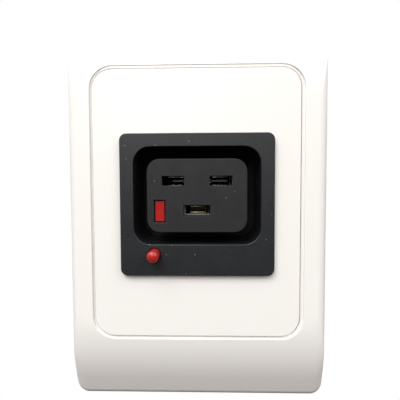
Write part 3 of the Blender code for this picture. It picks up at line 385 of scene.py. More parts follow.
@dataclass(frozen=True)
class RolledMetal(Finish):
    """Cold-rolled strip or drawn wire.

    The eye gets a bright metal with fine lines along the direction in which it was rolled, and dull
    clouds where it has been handled. Real rolling lines are a few hundredths of a millimetre wide,
    too fine to show, so they are drawn 0.12 mm wide.
    """

    line: float = 0.12
    line_length: float = 3.0
    line_height: float = 0.0015
    line_dulling: float = 0.08
    tarnish: float = 2.5
    tarnish_dulling: float = 0.16

    def pattern(self, tree: bpy.types.NodeTree, place: bpy.types.NodeSocket) -> dict[str, Any]:
        """Rolling lines along Y as bump and gloss, and clouds of tarnish in colour.

        Args:
            tree: The material's node tree.
            place: The coordinates on the piece, in metres.

        Returns:
            The shader inputs for colour, gloss and bump.
        """
        scale = (1.0, self.line / self.line_length, 1.0)
        along = add_node(tree, "ShaderNodeMapping", {"Vector": place, "Scale": scale})
        inputs = {"Vector": along, "Scale": per_metre(self.line), "Detail": 2.0}
        lines = add_node(tree, "ShaderNodeTexNoise", inputs)
        inputs = {"Vector": place, "Scale": per_metre(self.tarnish), "Detail": 5.0, "Distortion": 0.4}
        cloud = add_node(tree, "ShaderNodeTexNoise", inputs)
        tarnished = self.spread(tree, cloud, 0.0, self.tarnish_dulling)
        lined = self.spread(tree, lines, 0.0, self.line_dulling)
        dulled = add_node(tree, "ShaderNodeMath", {0: tarnished, 1: lined})
        bump = {"Height": lines, "Distance": self.line_height * MM, "Strength": 1.0}
        return {
            "Base Color": self.tone(tree, self.spread(tree, cloud)),
            "Roughness": add_node(tree, "ShaderNodeMath", {0: dulled, 1: self.roughness}),
            "Normal": add_node(tree, "ShaderNodeBump", bump),
        }


@dataclass(frozen=True)
class BrightZinc(Finish):
    """Steel, zinc plated and passivated blue.

    The eye gets a cool bright metal with a fine crystalline mottle and a trace of yellow in places.
    The crystals are about 0.05 mm and are drawn at 0.25 mm so that they show.
    """

    roughening: tuple[float, float] = (0.0, 0.15)
    crystal: float = 0.25
    crystal_height: float = 0.002
    bloom: float = 1.6

    def pattern(self, tree: bpy.types.NodeTree, place: bpy.types.NodeSocket) -> dict[str, Any]:
        """Crystals as gloss and bump, and a bloom of the passivation in colour.

        Args:
            tree: The material's node tree.
            place: The coordinates on the piece, in metres.

        Returns:
            The shader inputs for colour, gloss and bump.
        """
        inputs = {"Vector": place, "Scale": per_metre(self.crystal)}
        crystal = add_node(tree, "ShaderNodeTexVoronoi", inputs)
        inputs = {"Vector": place, "Scale": per_metre(self.bloom), "Detail": 3.0}
        bloom = add_node(tree, "ShaderNodeTexNoise", inputs)
        bump = {"Height": crystal, "Distance": self.crystal_height * MM, "Strength": 1.0}
        return {
            "Base Color": self.tone(tree, self.spread(tree, bloom)),
            "Roughness": self.gloss(tree, crystal),
            "Normal": add_node(tree, "ShaderNodeBump", bump),
        }


@dataclass(frozen=True)
class NaturalNylon(Finish):
    """Nylon without pigment, stamped from sheet.

    The eye gets a cloudy, slightly yellow white that lets some light through.
    """

    haze: float = 1.2
    glow: float = 0.4
    glow_depth: float = 0.6

    def pattern(self, tree: bpy.types.NodeTree, place: bpy.types.NodeSocket) -> dict[str, Any]:
        """Haze in colour, and light that enters and leaves again.

        Args:
            tree: The material's node tree.
            place: The coordinates on the piece, in metres.

        Returns:
            The shader inputs for colour and for light below the surface.
        """
        inputs = {"Vector": place, "Scale": per_metre(self.haze), "Detail": 3.0}
        haze = add_node(tree, "ShaderNodeTexNoise", inputs)
        return {
            "Base Color": self.tone(tree, self.spread(tree, haze)),
            "Subsurface Weight": self.glow,
            "Subsurface Scale": self.glow_depth * MM,
        }


@dataclass(frozen=True)
class PaintedBoard(Finish):
    """Board with two coats of matt emulsion, for the floor.

    The eye gets a plain pale surface that only shows the object's shadow.
    """

    roller: float = 9.0

    def pattern(self, tree: bpy.types.NodeTree, place: bpy.types.NodeSocket) -> dict[str, Any]:
        """The faint cloud that a roller leaves.

        Args:
            tree: The material's node tree.
            place: The coordinates on the piece, in metres.

        Returns:
            The shader input for colour.
        """
        inputs = {"Vector": place, "Scale": per_metre(self.roller), "Detail": 2.0}
        cloud = add_node(tree, "ShaderNodeTexNoise", inputs)
        return {"Base Color": self.tone(tree, self.spread(tree, cloud))}


COVER_WHITE = MouldedPolycarbonate(
    "white_polycarbonate_moulded", "white_plastic", "#F4F2EE", "#F3F1ED", 0.30, 1.585
)
# The black mouldings are of one polyamide. The carrier's tool is the dullest, the housing's leaves a
# sheen, and the recess' walls are moulded by a polished core, which leaves hardly any grain. Their
# black is painted paler than the housing's, which paints light into the deep recess.
CARRIER_BLACK = SparkErodedPolyamide(
    "black_polyamide_fine_eroded", "black_polyamide", "#0D1015", "#0A0D12", 0.72, 1.53, film=0.016
)
HOUSING_BLACK = SparkErodedPolyamide(
    "black_polyamide_spark_eroded", "black_polyamide", "#171B20", "#13171B", 0.41, 1.53, film=0.034
)
RECESS_BLACK_PAINTED_LIGHT = SparkErodedPolyamide(
    "black_polyamide_polished_painted_light",
    "black_polyamide",
    "#202225",
    "#1B1D20",
    0.16,
    1.53,
    grain_height=0.002,
    film=0.02,
)
RED = MouldedAcetal("red_acetal_moulded", "red_plastic", "#B22B27", "#9C1F1E", 0.15, 1.48)
# Brass, rolled bright: pale, as its lit edge mirrors the white studio, with hardly any lines.
BRASS = RolledMetal(
    "brass_strip_rolled",
    "brass",
    "#E6E3D9",
    "#96917F",
    0.08,
    metallic=1.0,
    line_height=0.0006,
    line_dulling=0.03,
    tarnish_dulling=0.08,
)
# Tin, plated bright on the brass strip: greyer than brass, and its rolling lines are nearly filled.
TINNED = RolledMetal(
    "brass_strip_tin_plated",
    "brass",
    "#E2E3E2",
    "#CACAC6",
    0.05,
    metallic=1.0,
    line_height=0.0003,
    line_dulling=0.02,
    tarnish_dulling=0.05,
)
STEEL = RolledMetal("stainless_strip_rolled", "stainless_steel", "#DCDAD4", "#BDBAB2", 0.40, metallic=1.0)
# Wire that was drawn is brighter than rolled strip, and its lines are finer and shorter.
WIRE = RolledMetal(
    "stainless_wire_drawn",
    "stainless_steel",
    "#CFCECB",
    "#A9A7A3",
    0.20,
    metallic=1.0,
    line=0.08,
    line_length=1.0,
)
ZINC = BrightZinc("steel_bright_zinc_plated", "zinc_plated_steel", "#CDD2D8", "#C9C6B4", 0.24, metallic=1.0)
NYLON = NaturalNylon("nylon_natural_stamped", "nylon", "#E6E2D3", "#DAD4C0", 0.45, 1.53)
FLOOR = PaintedBoard("emulsion_painted_board", "", "#F4F3F1", "#F1F0EE", 0.85, 1.45)


# Meshes


def rounded_outline(
    width: float, height: float, radius: float, x: float = 0.0, z: float = 0.0, steps: int = 14
) -> list[Point]:
    """Draws a rounded rectangle as seen from the front.

    Args:
        width: Its width in millimetres.
        height: Its height in millimetres.
        radius: Radius of its corners.
        x: How far its centre lies to the viewer's right.
        z: How high its centre lies.
        steps: Parts in which each corner is drawn.

    Returns:
        Points (x, z) in millimetres, anticlockwise.
    """
    points = []
    for corner in range(4):
        side = 1 if corner in (0, 3) else -1
        level = 1 if corner in (0, 1) else -1
        centre = (x + side * (width / 2 - radius), z + level * (height / 2 - radius))
        for step in range(steps + 1):
            angle = (corner + step / steps) * math.pi / 2
            out, up = radius * math.cos(angle), radius * math.sin(angle)
            points.append((centre[0] + out, centre[1] + up))
    return points


def ring(points: Sequence[Point], y: float) -> Ring:
    """Turns (x, z) points in millimetres at one depth into places in metres."""
    return [Vector((x, y, z)) * MM for x, z in points]


def skin(shape: bmesh.types.BMesh, rings: Sequence[Ring], closed: bool = False) -> None:
    """Lays faces between rings of points.

    Args:
        shape: The mesh that takes them.
        rings: The rings, with as many points in each.
        closed: Whether the last ring joins the first one; else both ends are capped.
    """
    rows = [[shape.verts.new(point) for point in points] for points in rings]
    pairs = list(zip(rows, rows[1:]))
    if closed:
        pairs.append((rows[-1], rows[0]))
    for lower, upper in pairs:
        for index in range(len(lower)):
            after = (index + 1) % len(lower)
            shape.faces.new((lower[index], lower[after], upper[after], upper[index]))
    if not closed:
        shape.faces.new(rows[0])
        shape.faces.new(list(reversed(rows[-1])))


def round_edges(
    shape: bmesh.types.BMesh, edges: Sequence[bmesh.types.BMEdge], radius: float, segments: int
) -> None:
    """Rounds edges of a mesh.

    Args:
        shape: The mesh.
        edges: The edges to round.
        radius: The round's width in millimetres.
        segments: Faces across the round.
    """
    bmesh.ops.bevel(
        shape,
        geom=edges,
        offset=radius * MM,
        segments=segments,
        profile=0.5,  # an arc of a circle
        affect="EDGES",
        clamp_overlap=False,
    )


def to_object(name: str, shape: bmesh.types.BMesh) -> bpy.types.Object:
    """Makes an object of a bmesh and frees the bmesh.

    Args:
        name: The object's name.
        shape: The bmesh, which is used up.

    Returns:
        The object, in the scene.
    """
    bmesh.ops.recalc_face_normals(shape, faces=shape.faces)
    mesh = bpy.data.meshes.new(name)
    shape.to_mesh(mesh)
    shape.free()
    obj = bpy.data.objects.new(name, mesh)
    bpy.context.scene.collection.objects.link(obj)
    return obj


def lofted(name: str, rings: Sequence[Ring], closed: bool = False) -> bpy.types.Object:
    """Makes an object of one skin over rings of points.

    Args:
        name: The object's name.
        rings: The rings, with as many points in each.
        closed: Whether the last ring joins the first one.

    Returns:
        The object, in the scene.
    """
    shape = bmesh.new()
    skin(shape, rings, closed)
    return to_object(name, shape)


def settled(obj: bpy.types.Object) -> bpy.types.Object:
    """Turns an object's modifiers into plain mesh.

    Args:
        obj: The object.

    Returns:
        The same object.
    """
    bpy.context.view_layer.update()
    mesh = bpy.data.meshes.new_from_object(obj.evaluated_get(bpy.context.evaluated_depsgraph_get()))
    obj.modifiers.clear()
    obj.data = mesh
    return obj


def combined(target: bpy.types.Object, tool: bpy.types.Object, operation: str) -> bpy.types.Object:
    """Adds a tool to the target or takes it out.

    Args:
        target: The object that changes.
        tool: The other object, which is used up.
        operation: Blender's name of the operation, UNION or DIFFERENCE.

    Returns:
        The target, as plain mesh.
    """
    modifier = target.modifiers.new("combined", "BOOLEAN")
    modifier.operation = operation
    modifier.solver = "EXACT"
    modifier.object = tool
    settled(target)
    bpy.data.objects.remove(tool, do_unlink=True)
    return target


def shaded(obj: bpy.types.Object, sharp: float = SHARP) -> bpy.types.Object:
    """Shades round faces smooth and keeps the large flat ones flat.

    Args:
        obj: The object to shade.
        sharp: Angle in degrees above which an edge stays crisp.

    Returns:
        The same object.
    """
    obj.data.shade_smooth()
    obj.data.set_sharp_from_angle(angle=math.radians(sharp))
    modifier = obj.modifiers.new("weighted", "WEIGHTED_NORMAL")
    modifier.keep_sharp = True
    modifier.weight = FLAT_WEIGHT
    return settled(obj)


def dress(obj: bpy.types.Object, finish: Finish, body: Body, *nodes: str) -> bpy.types.Object:
    """Finishes a piece: its material, the body it rides on and the solids it stands for.

    Args:
        obj: The piece.
        finish: Its finish.
        body: The body it rides on.
        *nodes: The CAD nodes that it stands for.

    Returns:
        The same piece.
    """
    obj.data.materials.clear()
    obj.data.materials.append(finish.make())
    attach(obj, body.value)
    if nodes:
        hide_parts(*nodes)
    logging.info("%s: %d faces, %s, on %s", obj.name, len(obj.data.polygons), finish.name, body.value)
    return obj


@dataclass
class TooledSolid:
    """A solid of the frame with the small edge radius that its mould or die leaves on it.

    An edge is rounded where no edge beside it is shorter than its room, which counts in radii.
    """

    node: str
    finish: Finish
    body: Body
    radius: float = 0.12
    sharp: float = SHARP
    room: float = 2.2
    flatness: float = 0.4

    def welded(self) -> bmesh.types.BMesh:
        """Copies the solid and joins its triangles into whole flat faces.

        Returns:
            The copy, without the frame's own shading.
        """
        shape = bmesh.new()
        shape.from_mesh(bpy.data.objects[self.node].data)
        bmesh.ops.remove_doubles(shape, verts=shape.verts, dist=WELD)
        limit = math.radians(self.flatness)
        bmesh.ops.dissolve_limit(shape, angle_limit=limit, verts=shape.verts, edges=shape.edges)
        for layer in list(shape.loops.layers.float_vector):
            shape.loops.layers.float_vector.remove(layer)
        return shape

    def rounded(self, shape: bmesh.types.BMesh) -> None:
        """Rounds each edge that turns sharply and has room for its radius.

        Args:
            shape: The copy of the solid.
        """
        room = self.room * self.radius * MM
        edges = [
            edge
            for edge in shape.edges
            if len(edge.link_faces) == 2 and edge.calc_face_angle() > math.radians(self.sharp)
        ]
        tight = {vert for edge in shape.edges if edge.calc_length() < room for vert in edge.verts}
        free = [edge for edge in edges if not tight.intersection(edge.verts)]
        round_edges(shape, free, self.radius, 2)

    def fitted(self, obj: bpy.types.Object) -> bpy.types.Object:
        """Fits the piece to its neighbours, where it needs that."""
        return obj

    def build(self) -> bpy.types.Object:
        """Makes the piece and dresses it.

        Returns:
            The piece.
        """
        shape = self.welded()
        self.rounded(shape)
        obj = self.fitted(to_object(f"{self.node}_tooled", shape))
        return dress(shaded(obj, self.sharp), self.finish, self.body, self.node)


@dataclass
class SlottedCap(TooledSolid):
    """The outlet's rear cover, whose slots close tightly round the contacts' tabs.

    The slots are narrowed by a rim that starts a little below the cover's outer face and grows into
    the slot's wall by an overlap.
    """

    contacts: tuple[str, ...] = ()
    face: float = 13.2
    depth: float = 1.5
    sunk: float = 0.12
    slot_gap: float = 0.3
    overlap: float = 0.1
    tight_gap: float = 0.05

    def tab(self, contact: str) -> tuple[float, float, float, float]:
        """Measures the tab of a contact, where it stands out of the cover.

        Args:
            contact: The contact's node.

        Returns:
            Its width, its thickness and its centre across and up, in millimetres.
        """
        vertices = bpy.data.objects[contact].data.vertices
        places = [vertex.co / MM for vertex in vertices if vertex.co.y > self.face * MM]
        across = [place.x for place in places]
        up = [place.z for place in places]
        middle = (max(across) + min(across)) / 2, (max(up) + min(up)) / 2
        return max(across) - min(across), max(up) - min(up), *middle

    def fitted(self, obj: bpy.types.Object) -> bpy.types.Object:
        """Narrows each slot to its tab, so that no light comes through.

        Args:
            obj: The cover.

        Returns:
            The same cover.
        """
        back = self.face - self.sunk
        front = back - self.depth
        plans = ((self.slot_gap + self.overlap, (front, back)), (self.tight_gap, (back, front)))
        for contact in self.contacts:
            wide, thick, x, z = self.tab(contact)
            rings = []
            for gap, ends in plans:
                points = rounded_outline(wide + 2 * gap, thick + 2 * gap, self.tight_gap / 2, x, z, 1)
                rings += [ring(points, y) for y in ends]
            combined(obj, lofted("slot_rim", rings, closed=True), "UNION")
        return obj


# Wall plate


@dataclass
class SurroundCover:
    """The snap-on cover: a moulded shell with a lip, steep sides, long sloped ends and a window.

    Its window has a ledge all round it, just below the face, which is narrower on the left, where
    the panel lies close. Four fingers with barbs snap into the grid plate. Window_clear counts in
    the rounds of the window's edge, and window_rim in walls below the face.
    """

    width: float = 73.2
    height: float = 113.6
    corner: float = 3.4
    proud: float = 11.5
    wall: float = 1.8
    lip: float = 2.6
    lip_round: float = 3.4
    side_angle: float = math.radians(82)
    side_blend: float = 2.8
    end_angle: float = math.radians(23)
    end_blend: float = 49.0
    window_width: float = 58.7
    window_height: float = 75.7
    window_corner: float = 6.3
    window_rise: float = 0.9
    window_round: float = 0.15
    window_clear: float = 2.4
    window_rim: float = 0.8
    window_sharp: float = 40.0
    flatness: float = 0.2
    insert_margin: float = 1.15
    ledge: Sides = (0.54, 0.85, 0.75, 0.75)
    rebate_floor: float = 10.7
    finger_out: float = 31.182
    finger_width: float = 6.0
    finger_thickness: float = 1.2
    finger_barb: float = 0.6
    finger_rise: float = 24.0
    finger_end: float = 0.15
    barb_front: float = 0.7
    round_steps: int = 8
    blend_steps: int = 16

    def parts(self, angle: float, blend: float) -> tuple[float, float, float, float]:
        """Finds where the lip's round ends and the blend into the face starts.

        Args:
            angle: The slope's angle.
            blend: Radius of the round into the face.

        Returns:
            Inset and height of the lip's end, then inset and height of the blend's start.
        """
        inset = self.lip_round * (1 - math.sin(angle))
        top = self.lip + self.lip_round * math.cos(angle)
        slope_top = self.proud - blend * (1 - math.cos(angle))
        return inset, top, inset + (slope_top - top) / math.tan(angle), slope_top

    def inset(self, height: float, angle: float, blend: float) -> float:
        """How far the edge has drawn in at a height above the wall.

        Args:
            height: Height above the wall in millimetres.
            angle: The slope's angle.
            blend: Radius of the round into the face.

        Returns:
            The inset in millimetres.
        """
        lip_inset, lip_top, slope_inset, slope_top = self.parts(angle, blend)
        if height <= self.lip:
            return 0.0
        if height <= lip_top:
            return self.lip_round - math.sqrt(self.lip_round**2 - (height - self.lip) ** 2)
        if height <= slope_top:
            return lip_inset + (height - lip_top) / math.tan(angle)
        rise = height - (self.proud - blend)
        return slope_inset + blend * math.sin(angle) - math.sqrt(max(blend**2 - rise**2, 0.0))

    def levels(self) -> list[float]:
        """Finds heights for rings that keep the rounds of both kinds of edge true.

        Returns:
            Heights above the wall in millimetres, lowest first.
        """
        heights = {0.0, self.lip}
        for angle, blend in ((self.side_angle, self.side_blend), (self.end_angle, self.end_blend)):
            for step in range(1, self.round_steps + 1):
                turn = (math.pi / 2 - angle) * step / self.round_steps
                heights.add(self.lip + self.lip_round * math.sin(turn))
            for step in range(self.blend_steps + 1):
                turn = angle * (1 - step / self.blend_steps)
                heights.add(self.proud - blend * (1 - math.cos(turn)))
        return sorted(round(height, 4) for height in heights if not self.meets_window(height))

    def meets_window(self, height: float) -> bool:
        """Whether a ring would run through the round of the window's top or bottom edge.

        Args:
            height: The ring's height above the wall.

        Returns:
            True where it lies too close to one of them.
        """
        reach = self.height / 2 - self.inset(height, self.end_angle, self.end_blend)
        edges = (self.window_height / 2 + self.window_rise, self.window_height / 2 - self.window_rise)
        return any(abs(reach - edge) < self.window_clear * self.window_round for edge in edges)

    def outline(self, height: float, wall: float) -> list[Point]:
        """Draws the outline of the shell's outer or inner skin.

        Args:
            height: Height above the wall.
            wall: How far the skin lies inside the outer one.

        Returns:
            Points (x, z) in millimetres.
        """
        outer = min(height + wall, self.proud)
        width = self.width - 2 * wall - 2 * self.inset(outer, self.side_angle, self.side_blend)
        tall = self.height - 2 * wall - 2 * self.inset(outer, self.end_angle, self.end_blend)
        return rounded_outline(width, tall, max(self.corner - wall, self.corner / 3))

    def form(self, wall: float) -> bpy.types.Object:
        """Makes the solid that fills the shell's outer or inner skin.

        Args:
            wall: How far the skin lies inside the outer one.

        Returns:
            The solid. The inner one also stands out behind, where it opens the shell.
        """
        levels = sorted({round(max(level - wall, 0.0), 4) for level in self.levels()})
        rings = [ring(self.outline(level, wall), -level) for level in levels]
        if wall:
            rings.insert(0, ring(self.outline(0.0, wall), REACH))
        return lofted("cover_form", rings)

    def window(self, back: float, margins: Sides = (0.0, 0.0, 0.0, 0.0)) -> bpy.types.Object:
        """The tool that opens the window.

        Args:
            back: The depth (y) to which it cuts from the face, in millimetres.
            margins: How far it is drawn in at the left, right, bottom and top.

        Returns:
            The tool.
        """
        left, right, bottom, top = margins
        points = rounded_outline(
            self.window_width - left - right,
            self.window_height - bottom - top,
            self.window_corner - max(margins),
            (left - right) / 2,
            self.window_rise + (bottom - top) / 2,
        )
        return lofted("window", [ring(points, y) for y in (-self.proud - REACH, back)])

    def round_window(self, cover: bpy.types.Object) -> None:
        """Rounds the edge of the window, where it opens in the face.

        Args:
            cover: The cover with its window.
        """
        shape = bmesh.new()
        shape.from_mesh(cover.data)
        limit = math.radians(self.flatness)
        bmesh.ops.dissolve_limit(shape, angle_limit=limit, verts=shape.verts, edges=shape.edges)
        rim = -(self.proud - self.window_rim * self.wall) * MM
        edges = [
            edge
            for edge in shape.edges
            if len(edge.link_faces) == 2
            and edge.is_convex
            and edge.calc_face_angle() > math.radians(self.window_sharp)
            and max(vert.co.y for vert in edge.verts) < rim
        ]
        round_edges(shape, edges, self.window_round, 4)
        shape.to_mesh(cover.data)
        shape.free()

    def finger(self, side: int, z: float) -> bpy.types.Object:
        """Makes one snap finger with its barb.

        Args:
            side: Minus one at the left, one at the right.
            z: Height of its middle.

        Returns:
            The finger, rooted in the middle of the cover's wall.
        """
        inside = self.finger_out - self.finger_thickness / 2
        outside = self.finger_out + self.finger_thickness / 2
        root = self.wall / 2 - self.proud
        profile = [
            (inside, root),
            (outside, root),
            (outside, -self.barb_front),
            (outside + self.finger_barb, -self.barb_front),
            (outside, -self.finger_end),
            (inside, -self.finger_end),
        ]
        ends = [z - self.finger_width / 2, z + self.finger_width / 2]
        rings = [[Vector((side * x, y, end)) * MM for x, y in profile] for end in ends]
        return lofted("finger", rings)

    def build(self) -> bpy.types.Object:
        """Makes the cover and dresses it.

        Returns:
            The cover.
        """
        cover = self.form(0.0)
        cover.name = "surround_cover_shell"
        combined(cover, self.form(self.wall), "DIFFERENCE")
        combined(cover, self.window(-self.rebate_floor), "DIFFERENCE")
        combined(cover, self.window(REACH, self.ledge), "DIFFERENCE")
        for side in (-1, 1):
            for level in (-1, 1):
                combined(cover, self.finger(side, level * self.finger_rise), "UNION")
        self.round_window(cover)
        return dress(shaded(cover), COVER_WHITE, Body.SOCKET, "surround_cover")


@dataclass
class FacePanel(TooledSolid):
    """The grid plate, whose raised panel fills the cover's window down to a thin line.

    The margins are from the window's edge to the panel's, and the rim is how far from the panel's
    corner a point still counts as on its edge.
    """

    cover: SurroundCover = field(default_factory=SurroundCover)
    margins: Sides = (0.66, 1.1, 0.85, 1.05)
    front: float = 9.0
    rim: float = 0.3

    def fitted(self, obj: bpy.types.Object) -> bpy.types.Object:
        """Moves the panel's edge out to its margins, which are narrower where the panel rests.

        Args:
            obj: The grid plate.

        Returns:
            The same plate.
        """
        cover = self.cover
        left, right, bottom, top = (cover.insert_margin - margin for margin in self.margins)
        across = cover.window_width / 2 - cover.window_corner
        up = cover.window_height / 2 - cover.window_corner
        edge = cover.window_corner - cover.insert_margin - self.rim
        for vertex in obj.data.vertices:
            x, y, level = vertex.co / MM
            level -= cover.window_rise
            out = Vector((x - max(-across, min(across, x)), 0.0, level - max(-up, min(up, level))))
            if y < -self.front and out.length > edge:
                out.normalize()
                out.x *= right if out.x > 0 else left
                out.z *= top if out.z > 0 else bottom
                vertex.co += out * MM
        return obj


@dataclass
class Screw:
    """A machine or tapping screw along Y with a rolled thread and a driver recess.

    Points is one where the screw points along Y, and minus one where it points against it. Sizes are
    in millimetres, but what is called a share is one of the head's width or height, eye and flat are
    shares of its radius, tip is one of the core's, and the thread's depth is in pitches. Crest is how
    much steeper the flanks are than a plain ridge's, which leaves the thread's top flat.
    """

    node: str
    x: float
    z: float
    head_face: float
    points: int
    diameter: float
    length: float
    head: float
    head_height: float
    pitch: float
    recess: Recess
    tip: float
    sides: int = 32
    rows_per_turn: int = 8
    thread_depth: float = 0.54
    crest: float = 1.16
    shank: float = 0.5
    eye: float = 0.12
    flat: float = 0.6
    dome: float = 0.02
    crown_share: float = 0.42
    crown_steps: int = 6
    chamfer: float = 0.08
    slot_width: float = 0.9
    slot_depth: float = 1.1
    cross_length_shares: tuple[float, float] = (0.58, 0.2)
    cross_width: tuple[float, float] = (0.62, 0.3)
    cross_depth_share: float = 0.62
    driver_corner: float = 0.05

    def radius_at(self, along: float, turn: float) -> float:
        """Gives the thread's radius.

        Args:
            along: Distance below the head in millimetres.
            turn: Share of a whole turn about the axis.

        Returns:
            The radius in millimetres, less where the thread runs out and at the tip.
        """
        major = self.diameter / 2
        depth = self.thread_depth * self.pitch
        phase = (along / self.pitch - turn) % 1.0
        ridge = min(1.0, max(0.0, self.crest * (1 - abs(2 * phase - 1))))
        fade = min(1.0, max(0.0, (along - self.shank) / self.pitch))
        left = self.length - along
        core = min(1.0, self.tip + (1 - self.tip) * left / self.diameter)
        return core * (major - depth * (1 - ridge * fade) + (depth * 0.5 * (1 - fade)))

    def rows(self) -> list[Ring]:
        """Lays the screw's rings from the middle of its head to its tip.

        Returns:
            The rings in metres.
        """
        edge = self.head / 2
        crown = self.crown_share * self.head_height
        profile = [(self.eye * edge, 0.0), (self.flat * edge, self.dome)]
        for step in range(self.crown_steps + 1):
            turn = math.pi / 2 * step / self.crown_steps
            below = self.dome + (crown - self.dome) * (1 - math.cos(turn))
            profile.append((edge - crown * (1 - math.sin(turn)), below))
        profile.append((edge, self.head_height - self.chamfer))
        profile.append((edge - self.chamfer, self.head_height))
        rows = [[(radius, along)] * self.sides for radius, along in profile]
        steps = round(self.length / (self.pitch / self.rows_per_turn))
        for step in range(steps + 1):
            along = self.length * step / steps
            radii = [self.radius_at(along, side / self.sides) for side in range(self.sides)]
            rows.append([(radius, self.head_height + along) for radius in radii])
        return [self.turned(row) for row in rows]

    def turned(self, row: Sequence[Point]) -> Ring:
        """Places a row about the screw's axis.

        Args:
            row: For each side, its radius and its distance from the head's top.

        Returns:
            The ring in metres.
        """
        places = []
        for side, (radius, along) in enumerate(row):
            angle = 2 * math.pi * side / self.sides
            x, z = self.x + radius * math.cos(angle), self.z + radius * math.sin(angle)
            places.append(Vector((x, self.head_face + self.points * along, z)) * MM)
        return places

    def cutters(self) -> list[bpy.types.Object]:
        """Makes the tools that leave the driver recess.

        Returns:
            One tool for a slot, or two crossed ones that taper to the bottom.
        """
        if self.recess is Recess.SLOT:
            plans = [(self.head, self.slot_width, self.head, self.slot_width, self.slot_depth)]
        else:
            long, long_below = (share * self.head for share in self.cross_length_shares)
            thin, thin_below = self.cross_width
            deep = self.cross_depth_share * self.head_height
            plans = [(long, thin, long_below, thin_below, deep), (thin, long, thin_below, long_below, deep)]
        tools = []
        for wide, tall, wide_below, tall_below, deep in plans:
            rings = []
            for share, across, up in ((-0.5, wide, tall), (0.0, wide, tall), (1.0, wide_below, tall_below)):
                points = rounded_outline(across, up, self.driver_corner, self.x, self.z, 2)
                rings.append(ring(points, self.head_face + self.points * share * deep))
            tools.append(lofted("driver", rings))
        return tools

    def build(self) -> bpy.types.Object:
        """Makes the screw and dresses it.

        Returns:
            The screw.
        """
        screw = lofted(f"{self.node}_threaded", self.rows())
        for tool in self.cutters():
            combined(screw, tool, "DIFFERENCE")
        return dress(shaded(screw, sharp=50.0), ZINC, Body.SOCKET, self.node)


@dataclass
class CoilSpring:
    """A compression spring along Y, of drawn wire, with its end turns close together.

    Keep is the share of its length that is left at the end of its joint's travel, and is not used.
    Closing is how much closer the end turns lie than the middle ones.
    """

    node: str
    joint: str
    keep: float
    x: float
    z: float
    front: float
    back: float
    diameter: float
    turns: int
    wire: float = 0.35
    closing: float = 0.35
    steps: int = 30
    sides: int = 10

    def line(self) -> list[Vector]:
        """Winds the wire's centre line.

        Returns:
            Its points in metres.
        """
        radius = (self.diameter - self.wire) / 2
        length = self.back - self.front - self.wire
        points = []
        for step in range(self.turns * self.steps + 1):
            share = step / (self.turns * self.steps)
            closed = self.closing * math.sin(2 * math.pi * share) / (2 * math.pi)
            angle = 2 * math.pi * step / self.steps
            x, z = self.x + radius * math.cos(angle), self.z + radius * math.sin(angle)
            y = self.front + self.wire / 2 + length * (share - closed)
            points.append(Vector((x, y, z)) * MM)
        return points

    def rings(self) -> list[Ring]:
        """Lays round sections of the wire, square to its line.

        Returns:
            The sections, from the front end to the back one.
        """
        line = self.line()
        angles = [2 * math.pi * side / self.sides for side in range(self.sides)]
        rings = []
        for index, point in enumerate(line):
            ahead = line[min(index + 1, len(line) - 1)] - line[max(index - 1, 0)]
            out = Vector((point.x - self.x * MM, 0.0, point.z - self.z * MM)).normalized()
            up = ahead.normalized().cross(out).normalized()
            ways = [out * math.cos(angle) + up * math.sin(angle) for angle in angles]
            rings.append([point + way * self.wire / 2 * MM for way in ways])
        return rings

    def build(self) -> bpy.types.Object:
        """Makes the spring and dresses it, with a mesh of its own.

        Returns:
            The spring.
        """
        spring = shaded(lofted(f"{self.node}_wound", self.rings()), sharp=60.0)
        dress(spring, WIRE, Body.SOCKET, self.node)
        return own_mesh(spring)


@dataclass
class WallPlate:
    """The cover, the grid plate behind it and the two fixings that hold it to the wall box."""

    cover: SurroundCover
    screw_rise: float = 42.0
    screw_head_face: float = -4.5

    def fixing(self, node: str, z: float) -> Screw:
        """Plans one of the M3.5 machine screws that hold the plate to the wall box.

        Args:
            node: Its CAD node.
            z: Its height.

        Returns:
            The screw, which points to the wall.
        """
        return Screw(
            node,
            x=0.0,
            z=z,
            head_face=self.screw_head_face,
            points=1,
            diameter=3.5,
            length=25.0,
            head=6.0,
            head_height=2.2,
            pitch=0.6,
            recess=Recess.SLOT,
            tip=0.5,
        )

    def build(self) -> None:
        """Makes the wall plate's pieces."""
        self.cover.build()
        FacePanel("grid_plate", COVER_WHITE, Body.SOCKET, radius=0.1, cover=self.cover).build()
        for name, z in (("top", self.screw_rise), ("bottom", -self.screw_rise)):
            self.fixing(f"mounting_screw_{name}", z).build()
            TooledSolid(f"screw_retainer_{name}", NYLON, Body.SOCKET, radius=0.08).build()


